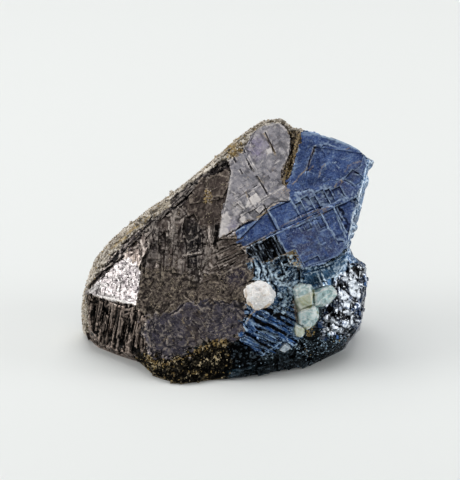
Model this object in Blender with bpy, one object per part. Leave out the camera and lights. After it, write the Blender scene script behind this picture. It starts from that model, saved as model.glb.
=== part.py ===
"""A hand specimen of galena, in millimetres until the meshes are written in metres.

X runs to the right, Y to the back and Z up. The origin is the middle of the base.
The body is a block broken along flat planes and trimmed to the outline of the stone. Cleavage
plates of the single crystals are added to it, and steps, pits and grooves are cut, all along
the cubic axes of the crystal they belong to.
"""
import math
import random
from dataclasses import dataclass, field

import bmesh
import bpy
from mathutils import Matrix, Vector

MM = 0.001
SEAT_GAP = 0.3          # air between a grain and the pocket it sits in
BASE_DEPTH = 12.0       # how far the tool that flattens the base reaches below it
OVERLAP = 3.0           # how far a raised plate reaches down into the stone
CLEAR = 6.0             # how far a cutter stands out of the stone
SIGHT_SLOPE = 0.404     # the outline is the one seen from 22 degrees above: its drop per depth


def facing(azimuth, elevation):
    """The unit direction a face looks in: azimuth 0 is the front, 90 the right, in degrees."""
    a, e = math.radians(azimuth), math.radians(elevation)
    return Vector((math.sin(a) * math.cos(e), -math.cos(a) * math.cos(e), math.sin(e)))


@dataclass
class Break:
    """A flat break: all that lies beyond the plane is gone."""
    azimuth: float
    elevation: float
    through: tuple


@dataclass
class Crystal:
    """Cubic cleavage axes: n looks out of the main face, u and v run along its edges."""
    origin: tuple
    azimuth: float
    elevation: float
    roll: float
    n: Vector = field(init=False)
    u: Vector = field(init=False)
    v: Vector = field(init=False)

    def __post_init__(self):
        self.n = facing(self.azimuth, self.elevation)
        level = Vector((0, 0, 1)).cross(self.n).normalized()
        self.u = Matrix.Rotation(math.radians(self.roll), 3, self.n) @ level
        self.v = self.n.cross(self.u)

    def place(self, u, v, n):
        return Vector(self.origin) + self.u * u + self.v * v + self.n * n


EAST = Crystal(origin=(15.4, -9.9, 40.2), azimuth=3, elevation=36, roll=25)
MIDDLE = Crystal(origin=(-0.9, 3.1, 57.6), azimuth=5, elevation=39, roll=33)
WEST = Crystal(origin=(-3.5, -11.0, 34.9), azimuth=-12, elevation=33, roll=3)
SLATE = Crystal(origin=(-8.0, -19.6, 20.5), azimuth=-6, elevation=19, roll=-8)
SHOULDER = Crystal(origin=(-26.9, -16.3, 19.5), azimuth=-43.5, elevation=6.5, roll=-8)
BRIGHT = Crystal(origin=(-25.8, -10.6, 28.3), azimuth=-43, elevation=29, roll=10)
JAY = Crystal(origin=(15.0, -18.7, 20.0), azimuth=19, elevation=23, roll=-32)
SOUTH = Crystal(origin=(33.0, -9.0, 22.0), azimuth=44, elevation=20, roll=-24)
FOOT = Crystal(origin=(25.0, -16.8, 0.0), azimuth=24, elevation=-21, roll=12)
BACK = Crystal(origin=(0.0, 27.0, 20.0), azimuth=172, elevation=12, roll=17)
BACK_WEST = Crystal(origin=(-14.0, 22.0, 30.0), azimuth=-156, elevation=26, roll=-20)
BACK_EAST = Crystal(origin=(30.0, 23.0, 20.0), azimuth=146, elevation=14, roll=32)


# The outline of the stone seen from the front, clockwise from the lower left: x, depth, height.
OUTLINE = [
    (-44.2, 4, 1.6), (-44.6, 5, 8.3), (-43.7, 6, 14.2), (-42.0, 6, 20.1), (-39.8, 6, 25.4),
    (-35.4, 6, 30.9), (-30.0, 7, 35.4), (-23.2, 7, 41.2), (-17.2, 8, 45.0), (-9.3, 9, 51.4),
    (-1.5, 11, 57.7), (5.1, 13, 63.1), (10.5, 15, 66.5), (16.6, 16, 66.8), (19.8, 14, 64.3),
    (25.6, 16, 63.3), (31.1, 16, 62.0), (37.7, 15, 59.2), (43.7, 13, 56.7), (42.4, 9, 50.1),
    (40.3, 6, 45.2), (38.3, 2, 41.6), (36.8, -3, 33.3), (38.0, 2, 27.6), (42.6, 6, 22.1),
    (42.3, 4, 13.3), (40.5, 0, 4.4), (35.5, -4.8, -0.4), (25.1, -16.8, 0.1), (14.3, -21.6, 0.3),
    (3.9, -25.6, 0.3), (-6.5, -28.0, 0.3), (-13.8, -30.4, 0.2), (-21.6, -24.0, 0.3),
    (-26.4, -13.8, -0.4), (-32.6, -9.4, -0.3), (-39.2, -3.2, -0.5),
]
OUTLINE_MIDDLE = (3.0, 30.0)
FRONT_DEPTH, BACK_DEPTH = -46.0, 36.0
FRONT_SHARE = 0.70

# The flat breaks that shape the body.
BREAKS = [
    Break(-12, 33, WEST.origin),
    Break(-6, 19, SLATE.origin),
    Break(-43, 29, BRIGHT.origin),
    Break(-43.5, 6.5, SHOULDER.origin),
    Break(5, 39, (-0.9, 4.1, 57.1)),          # behind the grey crystal
    Break(3, 36, (15.4, -8.9, 39.6)),         # behind the blue crystal
    Break(19, 23, JAY.origin),
    Break(44, 20, SOUTH.origin),
    Break(24, -21, FOOT.origin),
    Break(172, 12, BACK.origin),
    Break(-156, 26, BACK_WEST.origin),
    Break(146, 14, BACK_EAST.origin),
    Break(-138, -6, (-31, 21, 8)),
    Break(-118, 12, (-43, 12, 16)),
    Break(152, 38, (31, 20, 53)),
    Break(128, -10, (41, 16, 14)),
    Break(112, 4, (46, 14, 40)),
    Break(168, -14, (6, 27.5, 8)),
    Break(-168, 46, (0, 24, 58)),
    Break(180, 58, (14, 20, 67)),
    Break(-58, 48, (-34, 9, 36)),
]

# Outlines of the raised cleavage faces, in the u and v of their crystal.
GREY_FACE = [
    (17.5, 2.6), (20.9, 0.7), (21.5, -3.2), (19.0, -8.0), (15.3, -12.0), (9.7, -16.5), (1.8, -19.7),
    (-10.2, -22.0), (-15.2, -18.4), (-10.7, -13.7), (-6.6, -10.1), (-2.7, -6.3), (0.0, -3.6),
    (1.0, -0.1), (4.5, 2.1), (11.7, 2.8),
]
BLUE_FACE = [
    (18.9, 24.7), (23.1, 22.3), (27.2, 19.2), (31.2, 14.5), (34.7, 9.0), (29.7, 2.5), (23.1, -4.9),
    (17.3, -12.2), (12.3, -14.2), (1.4, -12.8), (-8.8, -6.1), (-14.5, 4.4), (-4.0, 10.2), (7.3, 11.8),
    (12.3, 17.6),
]
BLUE_BACK = [
    (20.5, 22.7), (23.9, 20.6), (27.7, 18.0), (31.8, 14.0), (36.0, 9.0), (31.4, 2.0), (24.8, -5.6),
    (17.5, -10.2), (12.3, -11.2), (2.4, -9.8), (-5.8, -4.1), (-9.5, 4.4), (-1.0, 8.2), (9.3, 11.8),
    (14.3, 17.6),
]
UPPER_BROWN = [
    (-8.5, 13.7), (1.1, 15.5), (2.9, 19.8), (3.0, 23.7), (-0.4, 25.6), (-4.0, 21.9), (-9.4, 17.4),
]
BAND_OVER_BRIGHT = [
    (-19.2, -7.4), (-13.8, -1.9), (-7.9, 2.9), (-0.1, 0.3), (2.1, 8.2), (-2.8, 11.7), (-7.4, 9.7),
    (-12.3, 4.4), (-15.9, -0.3), (-18.3, -4.8),
]
LAMELLAE = [
    ((-18.0, -9.0), (2.7, 5.4), -0.6),
    ((-19.5, -9.0), (0.5, 2.5), -1.1),
    ((-20.5, -9.0), (-1.8, 0.2), -1.8),
    ((-22.0, -8.0), (-4.4, -2.1), -2.6),
    ((-17.0, -6.5), (-6.6, -4.6), -3.1),
]

# Steps cut into the blue crystal: u range, v range and how deep.
BLUE_STEPS = [
    ((-16.0, -0.1), (0.75, 9.5), 0.8), ((0.3, 7.6), (0.75, 7.3), 0.5),
    ((14.0, 17.8), (-11.0, -0.5), 0.7), ((-1.2, 1.9), (-15.0, -6.8), 0.6),
    ((8.1, 10.0), (0.8, 5.6), 0.9), ((10.3, 12.7), (0.9, 6.2), 0.6), ((13.0, 14.6), (0.8, 5.2), 1.0),
    ((14.9, 17.6), (1.0, 6.0), 0.7), ((17.9, 19.4), (0.8, 5.4), 0.9), ((19.8, 22.6), (1.1, 4.6), 0.6),
    ((-8.8, -7.3), (-6.4, -0.6), 1.8), ((-7.0, -5.3), (-6.7, -0.6), 2.6),
    ((-5.0, -3.3), (-6.6, -0.6), 2.2), ((-3.0, -1.5), (-6.5, -0.6), 2.9),
    ((-10.0, -8.2), (-12.5, -6.9), 1.7), ((-7.9, -6.0), (-12.8, -7.0), 1.1),
    ((-5.7, -3.8), (-15.0, -7.1), 1.6), ((-3.5, -1.5), (-15.0, -7.0), 1.2),
    ((2.2, 7.0), (-15.0, -11.4), 0.5),
    ((7.3, 9.4), (-3.1, -0.5), 0.3), ((11.6, 13.7), (-4.4, -0.5), 0.45),
]
BLUE_OUTLINES = [
    ([(21.2, 18.9), (33.7, 10.4), (31.0, 7.4), (22.4, 6.3), (15.9, 13.2)], 0.45),
    ([(18.2, -0.5), (25.5, -0.6), (25.0, -6.0), (20.0, -15.0), (16.2, -15.0), (18.0, -7.0)], 1.5),
    ([(24.4, 5.8), (26.8, 2.6), (30.5, 3.4), (28.5, 7.6)], 0.7),
]

# Gently sunken patches of the broad brown face.
BROWN_HOLLOWS = [
    ([(-10.0, 9.4), (-7.1, 10.9), (-5.6, 8.3), (-5.9, 4.1), (-8.3, 2.3), (-10.2, 5.8)], 0.8),
    ([(-8.2, -1.8), (-5.3, -1.2), (-5.0, -5.6), (-7.9, -5.8)], 0.6),
    ([(-17.6, 3.6), (-15.4, 5.0), (-14.6, 0.6), (-16.9, -1.6)], 0.7),
]

# The toe of the stone: its upper edge, the bulge of its crust and its foot.
TOE_TOP = [
    (-23.9, -22.3, 7.6), (-18.3, -23.5, 6.2), (-12.4, -24.3, 6.3), (-6.5, -24.2, 7.8), (3.8, -23.0, 11.0),
]
TOE_BULGE = [
    (-22.8, -24.2, 3.6), (-18.0, -27.4, 3.4), (-12.4, -29.4, 3.2), (-6.5, -27.6, 3.6), (5.0, -25.2, 4.6),
]
TOE_FOOT = [
    (-21.6, -24.0, -2.0), (-17.6, -27.2, -2.0), (-13.8, -29.8, -2.0), (-6.5, -27.6, -2.0),
    (5.6, -24.6, -2.0),
]

# Scratches across the grey crystal, from end to end in u and v.
SCRATCHES = [((15.6, 0.5), (14.1, -6.6)), ((6.2, -1.1), (4.6, -16.0)), ((2.9, -0.9), (2.2, -6.7))]

# The crystals of the pale green cluster: corners in the galena, then those of the faces in view.
GREEN_CRYSTALS = [
    ([(19.5, -14, 24.0), (21.3, -14, 25.6), (24.9, -14, 25.0), (25.8, -14, 22.7), (25.2, -14, 20.2),
      (21.6, -14, 19.2), (19.6, -14, 20.8)],
     [(20.4, -18.9, 25.4), (24.2, -18.6, 26.3), (24.6, -19.3, 23.2), (21.3, -19.8, 22.4)]),
    ([(20.0, -14, 22.0), (25.5, -14, 23.3), (25.9, -14, 18.9), (21.7, -14, 16.6), (19.9, -14, 18.2)],
     [(20.6, -20.1, 23.6), (24.7, -19.4, 24.6), (25.1, -20.2, 21.6), (21.7, -20.6, 20.2)]),
    ([(25.2, -12, 22.4), (30.0, -12, 23.7), (31.8, -12, 23.1), (33.0, -12, 20.8), (30.6, -12, 18.9),
      (28.8, -12, 16.9), (25.3, -12, 17.3)],
     [(26.0, -18.0, 24.0), (30.4, -16.0, 25.4), (31.8, -15.4, 23.2), (28.7, -17.6, 20.4),
      (26.2, -18.6, 20.8)]),
    ([(20.7, -14, 18.2), (25.2, -14, 19.2), (27.3, -14, 17.3), (27.6, -14, 15.0), (26.2, -14, 12.1),
      (23.2, -14, 10.7), (20.8, -14, 12.7)],
     [(22.0, -21.2, 20.0), (25.4, -20.8, 20.5), (26.3, -20.9, 17.4), (24.0, -22.2, 14.6),
      (21.6, -22.2, 16.4)]),
    ([(20.1, -16, 13.9), (22.9, -16, 12.9), (22.9, -16, 11.0), (21.8, -16, 9.0), (19.7, -16, 9.4)],
     [(20.5, -22.6, 15.6), (22.2, -22.8, 15.0), (22.2, -23.2, 12.6), (20.5, -23.2, 12.6)]),
]
PALE_CHIP = [
    (14.8, -20, 6.7), (16.6, -20, 9.0), (18.1, -20, 9.3), (19.3, -20, 7.1), (17.2, -20, 6.4),
    (15.6, -25.4, 8.9), (17.0, -25.6, 10.6), (18.5, -24.9, 9.4), (17.0, -25.2, 8.2),
]
WHITE_GRAIN = Vector((9.6, -20.2, 24.4))
WHITE_RADII = Vector((4.7, 3.9, 4.1))


def hull(corners):
    """A convex lump through these corners."""
    lump = bmesh.new()
    for corner in corners:
        lump.verts.new(corner)
    made = bmesh.ops.convex_hull(lump, input=lump.verts)
    spare = made["geom_interior"] + made["geom_unused"]
    inside = {part for part in spare if isinstance(part, bmesh.types.BMVert)}
    bmesh.ops.delete(lump, geom=list(inside), context="VERTS")
    return lump


def skin(loops):
    """A closed lump through loops of the same number of corners, capped at both ends."""
    lump = bmesh.new()
    rings = [[lump.verts.new(corner) for corner in loop] for loop in loops]
    count = len(rings[0])
    for near, far in zip(rings, rings[1:]):
        for i in range(count):
            j = (i + 1) % count
            lump.faces.new((near[i], near[j], far[j], far[i]))
    lump.faces.new(rings[0])
    lump.faces.new(rings[-1])
    return lump


def break_off(lump, plane):
    """Breaks a convex lump back to a plane, which leaves one flat face there."""
    parts = lump.verts[:] + lump.edges[:] + lump.faces[:]
    cut = bmesh.ops.bisect_plane(
        lump, geom=parts, plane_co=plane.through,
        plane_no=facing(plane.azimuth, plane.elevation), clear_outer=True)
    rim = [g for g in cut["geom_cut"] if isinstance(g, bmesh.types.BMEdge)]
    if rim:
        bmesh.ops.contextual_create(lump, geom=rim)


def block(crystal, u, v, n):
    """A box along a crystal's axes, from three (low, high) pairs."""
    return hull([crystal.place(a, b, c) for a in u for b in v for c in n])


def rough_block(crystal, middle, size, levels, rng, slant=0.0):
    """A box along a crystal's axes, a little out of true, whose top can slant down to one side."""
    wear = 0.12 * min(size)
    low, high = levels
    corners = []
    for a in (-1, 1):
        for b in (-1, 1):
            u = middle[0] + a * size[0] / 2 + rng.uniform(-wear, wear)
            v = middle[1] + b * size[1] / 2 + rng.uniform(-wear, wear)
            corners.append(crystal.place(u, v, low))
            corners.append(crystal.place(u, v, high - slant * (1 + a) / 2))
    return hull(corners)


def plate(crystal, outline, levels):
    """A plate of any outline in u and v, between two levels of n."""
    return skin([[crystal.place(u, v, n) for u, v in outline] for n in levels])


def crumb(middle, size, rng):
    """A small angular lump."""
    corners = []
    for _ in range(9):
        way = Vector((rng.gauss(0, 1), rng.gauss(0, 1), rng.gauss(0, 1))).normalized()
        corners.append(Vector(middle) + way * size * rng.uniform(0.8, 1.1))
    return hull(corners)


def grown_by(corners, gap):
    """The same corners moved out by a gap from their own middle."""
    points = [Vector(corner) for corner in corners]
    centre = sum(points, Vector()) / len(points)
    return [point + (point - centre).normalized() * gap for point in points]


def put(lump, name, collection, material=None):
    """Writes a lump as an object, turning millimetres into metres."""
    bmesh.ops.recalc_face_normals(lump, faces=lump.faces)
    bmesh.ops.scale(lump, vec=(MM, MM, MM), verts=lump.verts)
    mesh = bpy.data.meshes.new(name)
    lump.to_mesh(mesh)
    lump.free()
    made = bpy.data.objects.new(name, mesh)
    collection.objects.link(made)
    if material:
        mesh.materials.append(material)
    return made


def helper_collection(name):
    """A collection of tools, which never renders."""
    made = bpy.data.collections.new(name)
    bpy.context.scene.collection.children.link(made)
    return made


def hide_tools(collection):
    for tool in collection.objects:
        tool.hide_render = True
        tool.display_type = "WIRE"
    collection.hide_render = True


def boolean(target, operation, tools):
    step = target.modifiers.new(operation.title(), "BOOLEAN")
    step.operation = operation
    step.operand_type = "COLLECTION"
    step.collection = tools
    step.solver = "EXACT"


def mineral(name, colour, roughness, metallic):
    made = bpy.data.materials.new(name)
    made.use_nodes = True
    shader = made.node_tree.nodes["Principled BSDF"]
    shader.inputs["Base Color"].default_value = (*colour, 1)
    shader.inputs["Roughness"].default_value = roughness
    shader.inputs["Metallic"].default_value = metallic
    return made


def drawn_in(point, share, depth):
    """A point of the outline carried along the line of sight to a depth and drawn in."""
    cx, cz = OUTLINE_MIDDLE
    x, y, z = point
    height = z + y * SIGHT_SLOPE
    return (cx + (x - cx) * share, depth, cz + (height - cz) * share - depth * SIGHT_SLOPE)


def front_share(depth, rim_depth):
    """How far the outline has drawn in at a depth before its rim."""
    return 1 - (1 - FRONT_SHARE) * (rim_depth - depth) / (rim_depth - FRONT_DEPTH)


def inside_outline(point, share):
    """Whether a point lies within the outline drawn in to a share, along the line of sight."""
    cx, cz = OUTLINE_MIDDLE
    x = cx + (point[0] - cx) / share
    h = cz + (point[2] + point[1] * SIGHT_SLOPE - cz) / share
    rim = [(p[0], p[2] + p[1] * SIGHT_SLOPE) for p in OUTLINE]
    crossings = 0
    for (ax, ah), (bx, bh) in zip(rim, rim[1:] + rim[:1]):
        if (ah > h) != (bh > h) and x < ax + (h - ah) / (bh - ah) * (bx - ax):
            crossings += 1
    return crossings % 2 == 1


def on_stone(point, share, margin=0.0):
    """Whether a point lies within every flat break, give or take a margin, and within the outline."""
    for plane in BREAKS:
        if (point - Vector(plane.through)).dot(facing(plane.azimuth, plane.elevation)) > margin:
            return False
    return inside_outline(point, share)


def put_if_seated(lump, crystal, middle, size, share, name, collection):
    """Keeps a box whose four corners lie on its own flat break, and drops any other."""
    corners = [crystal.place(middle[0] + a * size[0] / 2, middle[1] + b * size[1] / 2, -0.5)
               for a in (-1, 1) for b in (-1, 1)]
    if all(on_stone(corner, share) for corner in corners):
        put(lump, name, collection)
    else:
        lump.free()


def broken_body():
    """The body of the stone between its flat breaks."""
    lump = hull([(x, y, z) for x in (-60, 60) for y in (-60, 40) for z in (-6, 80)])
    for plane in BREAKS:
        break_off(lump, plane)
    return lump


def outline_solid():
    """The outline of the stone carried to the front and the back, drawing in both ways."""
    return skin([
        [drawn_in(p, FRONT_SHARE, FRONT_DEPTH) for p in OUTLINE],
        OUTLINE,
        [drawn_in(p, 0.97, 22.0) for p in OUTLINE],
        [drawn_in(p, 0.80, BACK_DEPTH) for p in OUTLINE],
    ])


def make_blue_crystal(grown, steps):
    """The big crystal at the upper right, stepped along its cleavage."""
    face = [EAST.place(u, v, 0) for u, v in BLUE_FACE]
    back = [EAST.place(u, v, -14) for u, v in BLUE_BACK]
    crystal = put(skin([face, back]), "blue_crystal", grown)
    for number, (u, v, depth) in enumerate(BLUE_STEPS):
        put(block(EAST, u, v, (-depth, CLEAR)), f"blue_step_{number}", steps)
    for number, (outline, depth) in enumerate(BLUE_OUTLINES):
        put(plate(EAST, outline, (-depth, CLEAR)), f"blue_hollow_{number}", steps)
    boolean(crystal, "DIFFERENCE", steps)


def add_east_ledges(grown, rng):
    """The rail across the blue crystal, the lamellae beside it and the ledges of its right edge."""
    put(block(EAST, (-11.5, 17.9), (-0.25, 0.45), (-OVERLAP, 0.35)), "rail", grown)
    for number, (u, v, level) in enumerate(LAMELLAE):
        put(block(EAST, u, v, (-9.0, level)), f"lamella_{number}", grown)
    for number in range(10):
        share = number / 9
        u = 34.5 - 17.0 * share + rng.uniform(-0.4, 0.4)
        v = 8.0 - 19.5 * share + rng.uniform(-0.6, 0.6)
        size = (rng.uniform(1.6, 3.4), rng.uniform(1.2, 2.6))
        ledge = rough_block(EAST, (u, v), size, (-9, rng.uniform(-2.6, -0.5)), rng)
        put(ledge, f"edge_ledge_{number}", grown)
    underside = [
        (1.5, -11.0, -1.0), (12.0, -12.4, -1.2), (16.6, -11.0, -1.0),
        (-1.0, -16.8, -6.0), (10.0, -18.4, -6.2), (16.4, -15.4, -5.6),
        (-1.0, -14.0, -14.0), (10.0, -14.0, -14.0), (16.0, -12.0, -14.0),
    ]
    put(hull([EAST.place(*corner) for corner in underside]), "blue_underside", grown)


def add_grey_plates(grown, rng):
    """The grey crystal and the mosaic of little squares on its lower half."""
    put(plate(MIDDLE, GREY_FACE, (-9, 0)), "grey_crystal", grown)
    for number in range(17):
        middle = (rng.uniform(-11.5, 1.5), rng.uniform(-19.0, -11.5))
        size = (rng.uniform(1.6, 3.6), rng.uniform(1.4, 2.8))
        if middle[1] + 10.0 > 0.45 * middle[0]:
            continue
        levels = (-OVERLAP, 0.12 + 0.035 * number)
        put(rough_block(MIDDLE, middle, size, levels, rng), f"mosaic_{number}", grown)


def add_west_plates(grown, rng):
    """Plates, ribs and rim ledges of the broad brown face, and the ribbed face beside it."""
    put(plate(WEST, UPPER_BROWN, (-OVERLAP, 0.45)), "upper_brown", grown)
    for number in range(18):
        middle = (-21.5 + 1.27 * number + rng.uniform(-0.4, 0.4), rng.uniform(-7, 8))
        size = (rng.uniform(0.8, 2.2), rng.uniform(4, 12))
        high = rng.uniform(0.3, 0.75)
        rib = rough_block(WEST, middle, size, (-OVERLAP, high), rng, high - 0.04)
        put(rib, f"brown_rib_{number}", grown)
    along, across = Vector((0.72, 0.69)), Vector((-0.69, 0.72))
    for number in range(8):
        middle = Vector((-25.0 + 2.7 * number, 3.4 + 2.45 * number))
        middle -= across * rng.uniform(0.2, 2.6)
        length, width = rng.uniform(3.4, 7.0), rng.uniform(0.8, 1.5)
        outline = [middle + along * a * length + across * b * width / 2
                   for a, b in ((-0.5, -1), (0.5, -0.7), (0.42, 1), (-0.55, 0.6))]
        put(plate(WEST, outline, (-OVERLAP, rng.uniform(0.25, 0.7))), f"rim_ledge_{number}", grown)
    put(plate(BRIGHT, BAND_OVER_BRIGHT, (-4.0, 0.9)), "band_over_bright_facet", grown)
    for number in range(14):
        middle = (-18.5 + 1.7 * number + rng.uniform(-0.3, 0.3), rng.uniform(-11.5, -8.5))
        size = (rng.uniform(0.7, 1.3), rng.uniform(6.0, 12.0))
        high = rng.uniform(0.4, 1.1)
        rib = rough_block(SHOULDER, middle, size, (-OVERLAP, high), rng, 0.3)
        put(rib, f"shoulder_rib_{number}", grown)


def add_lower_right(grown, rng):
    """The striated dark face and the broken cubes of the lower right."""
    for number in range(9):
        middle = (rng.uniform(-3.5, 4.0), -13.2 + 2.05 * number)
        size = (rng.uniform(5.0, 9.5), rng.uniform(0.8, 1.3))
        levels = (-OVERLAP, rng.uniform(0.3, 0.9))
        put(rough_block(JAY, middle, size, levels, rng), f"striation_{number}", grown)
    for number in range(44):
        middle = (rng.uniform(-9.5, 9.5), rng.uniform(-17.0, 9.5))
        side = rng.uniform(1.8, 4.4)
        size = (side, side * rng.uniform(0.7, 1.5))
        levels = (-OVERLAP, rng.uniform(0.2, 1.6))
        box = rough_block(SOUTH, middle, size, levels, rng, rng.uniform(0, 0.5))
        put_if_seated(box, SOUTH, middle, size, 0.99, f"cube_{number}", grown)
    for number in range(34):
        middle = (rng.uniform(-19, 15), rng.uniform(0.5, 12.0))
        side = rng.uniform(1.8, 4.2)
        size = (side * rng.uniform(0.8, 1.6), side)
        levels = (-OVERLAP, rng.uniform(0.2, 1.1))
        box = rough_block(FOOT, middle, size, levels, rng, rng.uniform(0, 0.4))
        put_if_seated(box, FOOT, middle, size, 0.99, f"foot_cube_{number}", grown)


def along_row(row, share):
    """The point at a share of the way along a row of points."""
    place = share * (len(row) - 1)
    index = min(int(place), len(row) - 2)
    return Vector(row[index]).lerp(Vector(row[index + 1]), place - index)


def toe_point(share, down):
    """A point of the crust of the toe: share runs left to right, down from its top to its foot."""
    upper, lower = (TOE_TOP, TOE_BULGE) if down < 1 else (TOE_BULGE, TOE_FOOT)
    return along_row(upper, share).lerp(along_row(lower, share), down % 1)


def add_crust(grown, rng):
    """The crumbly crust of the toe, and the weathered rind of the upper left rim."""
    sections = []
    for top, bulge, foot in zip(TOE_TOP, TOE_BULGE, TOE_FOOT):
        x, y, z = top
        sections.append([top, bulge, foot, (x, y + 9, foot[2]), (x, y + 7, z - 1.0)])
    put(skin(sections), "toe", grown)
    for number in range(34):
        size = rng.uniform(1.0, 2.5)
        middle = toe_point(rng.uniform(0.02, 0.98), rng.uniform(0.02, 1.5))
        middle.y += 0.25 * size
        put(crumb(middle, size, rng), f"toe_crumb_{number}", grown)
    for number in range(70):
        index = rng.randrange(1, 13)
        point = Vector(OUTLINE[index]).lerp(Vector(OUTLINE[index + 1]), rng.random())
        depth = point[1] - rng.uniform(-4, 10)
        size = rng.uniform(1.0, 2.3)
        share = min(front_share(depth, point[1]), 1.0) - 0.02 - 0.012 * size
        middle = Vector(drawn_in(point, share, depth))
        lump = crumb(middle, size, rng)
        if on_stone(middle, 1.0, 0.1 * size):
            put(lump, f"rind_{number}", grown)
        else:
            lump.free()


def add_back_steps(grown, cuts, rng):
    """Cleavage steps of the sides that face away: plates left standing and pieces broken out."""
    sides = (
        (BACK, (-30, 30), (-20, 34), 30, 22),
        (BACK_WEST, (-24, 24), (-26, 26), 26, 14),
        (BACK_EAST, (-22, 22), (-22, 30), 22, 14),
    )
    for side, (crystal, across, up, plates, pieces) in enumerate(sides):
        for number in range(plates):
            middle = (rng.uniform(*across), rng.uniform(*up))
            size = (rng.uniform(3, 14), rng.uniform(3, 11))
            levels = (-5, rng.uniform(0.4, 2.2))
            box = rough_block(crystal, middle, size, levels, rng, rng.uniform(0, 0.8))
            put_if_seated(box, crystal, middle, size, 0.97, f"back_plate_{side}_{number}", grown)
        for number in range(pieces):
            middle = (rng.uniform(*across), rng.uniform(*up))
            size = (rng.uniform(3, 10), rng.uniform(3, 9))
            box = rough_block(crystal, middle, size, (-rng.uniform(0.6, 2.2), CLEAR), rng)
            put_if_seated(box, crystal, middle, size, 0.94, f"back_piece_{side}_{number}", cuts)


def cut_hollows(cuts, rng):
    """Sunken patches, the groove between the grey and blue crystals, and the long scratches."""
    for number, (outline, depth) in enumerate(BROWN_HOLLOWS):
        put(plate(WEST, outline, (-depth, CLEAR)), f"brown_hollow_{number}", cuts)
    for number in range(6):
        u, v = 22.6 - 1.5 * number, -3.2 - 1.6 * number
        outline = [(u, v), (u + 1.3, v - 0.7), (u - 0.4, v - 3.2), (u - 1.5, v - 2.2)]
        put(plate(MIDDLE, outline, (-rng.uniform(1.2, 2.4), CLEAR)), f"groove_{number}", cuts)
    for number, (a, b) in enumerate(SCRATCHES):
        outline = [(a[0] - 0.22, a[1]), (a[0] + 0.22, a[1]), (b[0] + 0.3, b[1]), (b[0] - 0.3, b[1])]
        put(plate(MIDDLE, outline, (-0.5, CLEAR)), f"scratch_{number}", cuts)


def make_white_grain(specimen, pockets, rng):
    """The round white grain and the pocket it sits in."""
    corners = []
    for number in range(64):
        height = 1 - 2 * (number + 0.5) / 64
        turn = number * 2.39996
        radius = math.sqrt(1 - height * height)
        way = Vector((radius * math.cos(turn), radius * math.sin(turn), height))
        way *= rng.uniform(0.94, 1.02)
        corners.append(WHITE_GRAIN + Vector(a * b for a, b in zip(way, WHITE_RADII)))
    put(hull(corners), "white_calcite", specimen, mineral("white_calcite", (0.80, 0.77, 0.72), 0.5, 0))
    put(hull(grown_by(corners, SEAT_GAP)), "white_pocket", pockets)


def make_green_cluster(specimen, pockets):
    """The pale green crystals grown into one cluster, and their pockets."""
    green = mineral("pale_green_fluorite", (0.55, 0.66, 0.55), 0.25, 0)
    joined = helper_collection("green_crystals")
    cluster = put(hull(GREEN_CRYSTALS[0][0] + GREEN_CRYSTALS[0][1]), "pale_green_fluorite", specimen, green)
    for number, (foot, top) in enumerate(GREEN_CRYSTALS):
        put(hull(grown_by(foot + top, 2 * SEAT_GAP)), f"green_pocket_{number}", pockets)
        if number > 0:
            put(hull(foot + top), f"green_crystal_{number}", joined)
    heart = [(x, y, z) for x in (21.2, 26.8) for y in (-17.5, -13.0) for z in (14.5, 23.0)]
    put(hull(heart), "green_pocket_heart", pockets)
    boolean(cluster, "UNION", joined)
    hide_tools(joined)


def make_pale_chip(specimen, pockets):
    """The pale chip low on the front, and its pocket."""
    put(hull(PALE_CHIP), "pale_chip", specimen, mineral("pale_chip", (0.55, 0.58, 0.62), 0.4, 0))
    put(hull(grown_by(PALE_CHIP, 2 * SEAT_GAP)), "chip_pocket", pockets)


def main():
    for old in list(bpy.data.objects):
        bpy.data.objects.remove(old)
    rng = random.Random(48)
    galena_grey = mineral("galena_lead_grey", (0.16, 0.17, 0.21), 0.35, 0.9)

    specimen = bpy.data.collections.new("galena_specimen")
    bpy.context.scene.collection.children.link(specimen)
    trim = helper_collection("outline")
    steps = helper_collection("blue_steps")
    grown = helper_collection("grown_plates")
    cuts = helper_collection("hollows_and_pockets")

    galena = put(broken_body(), "galena_mass", specimen, galena_grey)
    put(outline_solid(), "outline_solid", trim)
    boolean(galena, "INTERSECT", trim)

    make_blue_crystal(grown, steps)
    add_east_ledges(grown, rng)
    add_grey_plates(grown, rng)
    add_west_plates(grown, rng)
    add_lower_right(grown, rng)
    add_crust(grown, rng)
    add_back_steps(grown, cuts, rng)
    boolean(galena, "UNION", grown)

    cut_hollows(cuts, rng)
    make_white_grain(specimen, cuts, rng)
    make_green_cluster(specimen, cuts)
    make_pale_chip(specimen, cuts)
    floor = hull([(x, y, z) for x in (-80, 80) for y in (-80, 80) for z in (-BASE_DEPTH, 0)])
    put(floor, "floor_cut", cuts)
    boolean(galena, "DIFFERENCE", cuts)

    for tools in (trim, steps, grown, cuts):
        hide_tools(tools)


if __name__ == "__main__":
    main()
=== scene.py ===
"""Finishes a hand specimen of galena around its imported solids.

The stone's own mesh is refined and given relief along the cubic axes of each crystal. Its cracks,
steps and stains are drawn in pixels of the photograph and cast on it. Thin cleavage plates and small
crumbs lie on it as joined meshes, and the grains of other minerals are refined in the same way.
Lengths are in millimetres until a mesh is written in metres.
"""

import logging
import math
from collections.abc import Callable
from dataclasses import dataclass, replace
from enum import Enum
from itertools import product
from typing import Any

import bpy
import numpy as np
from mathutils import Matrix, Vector
from mathutils.bvhtree import BVHTree


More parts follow.
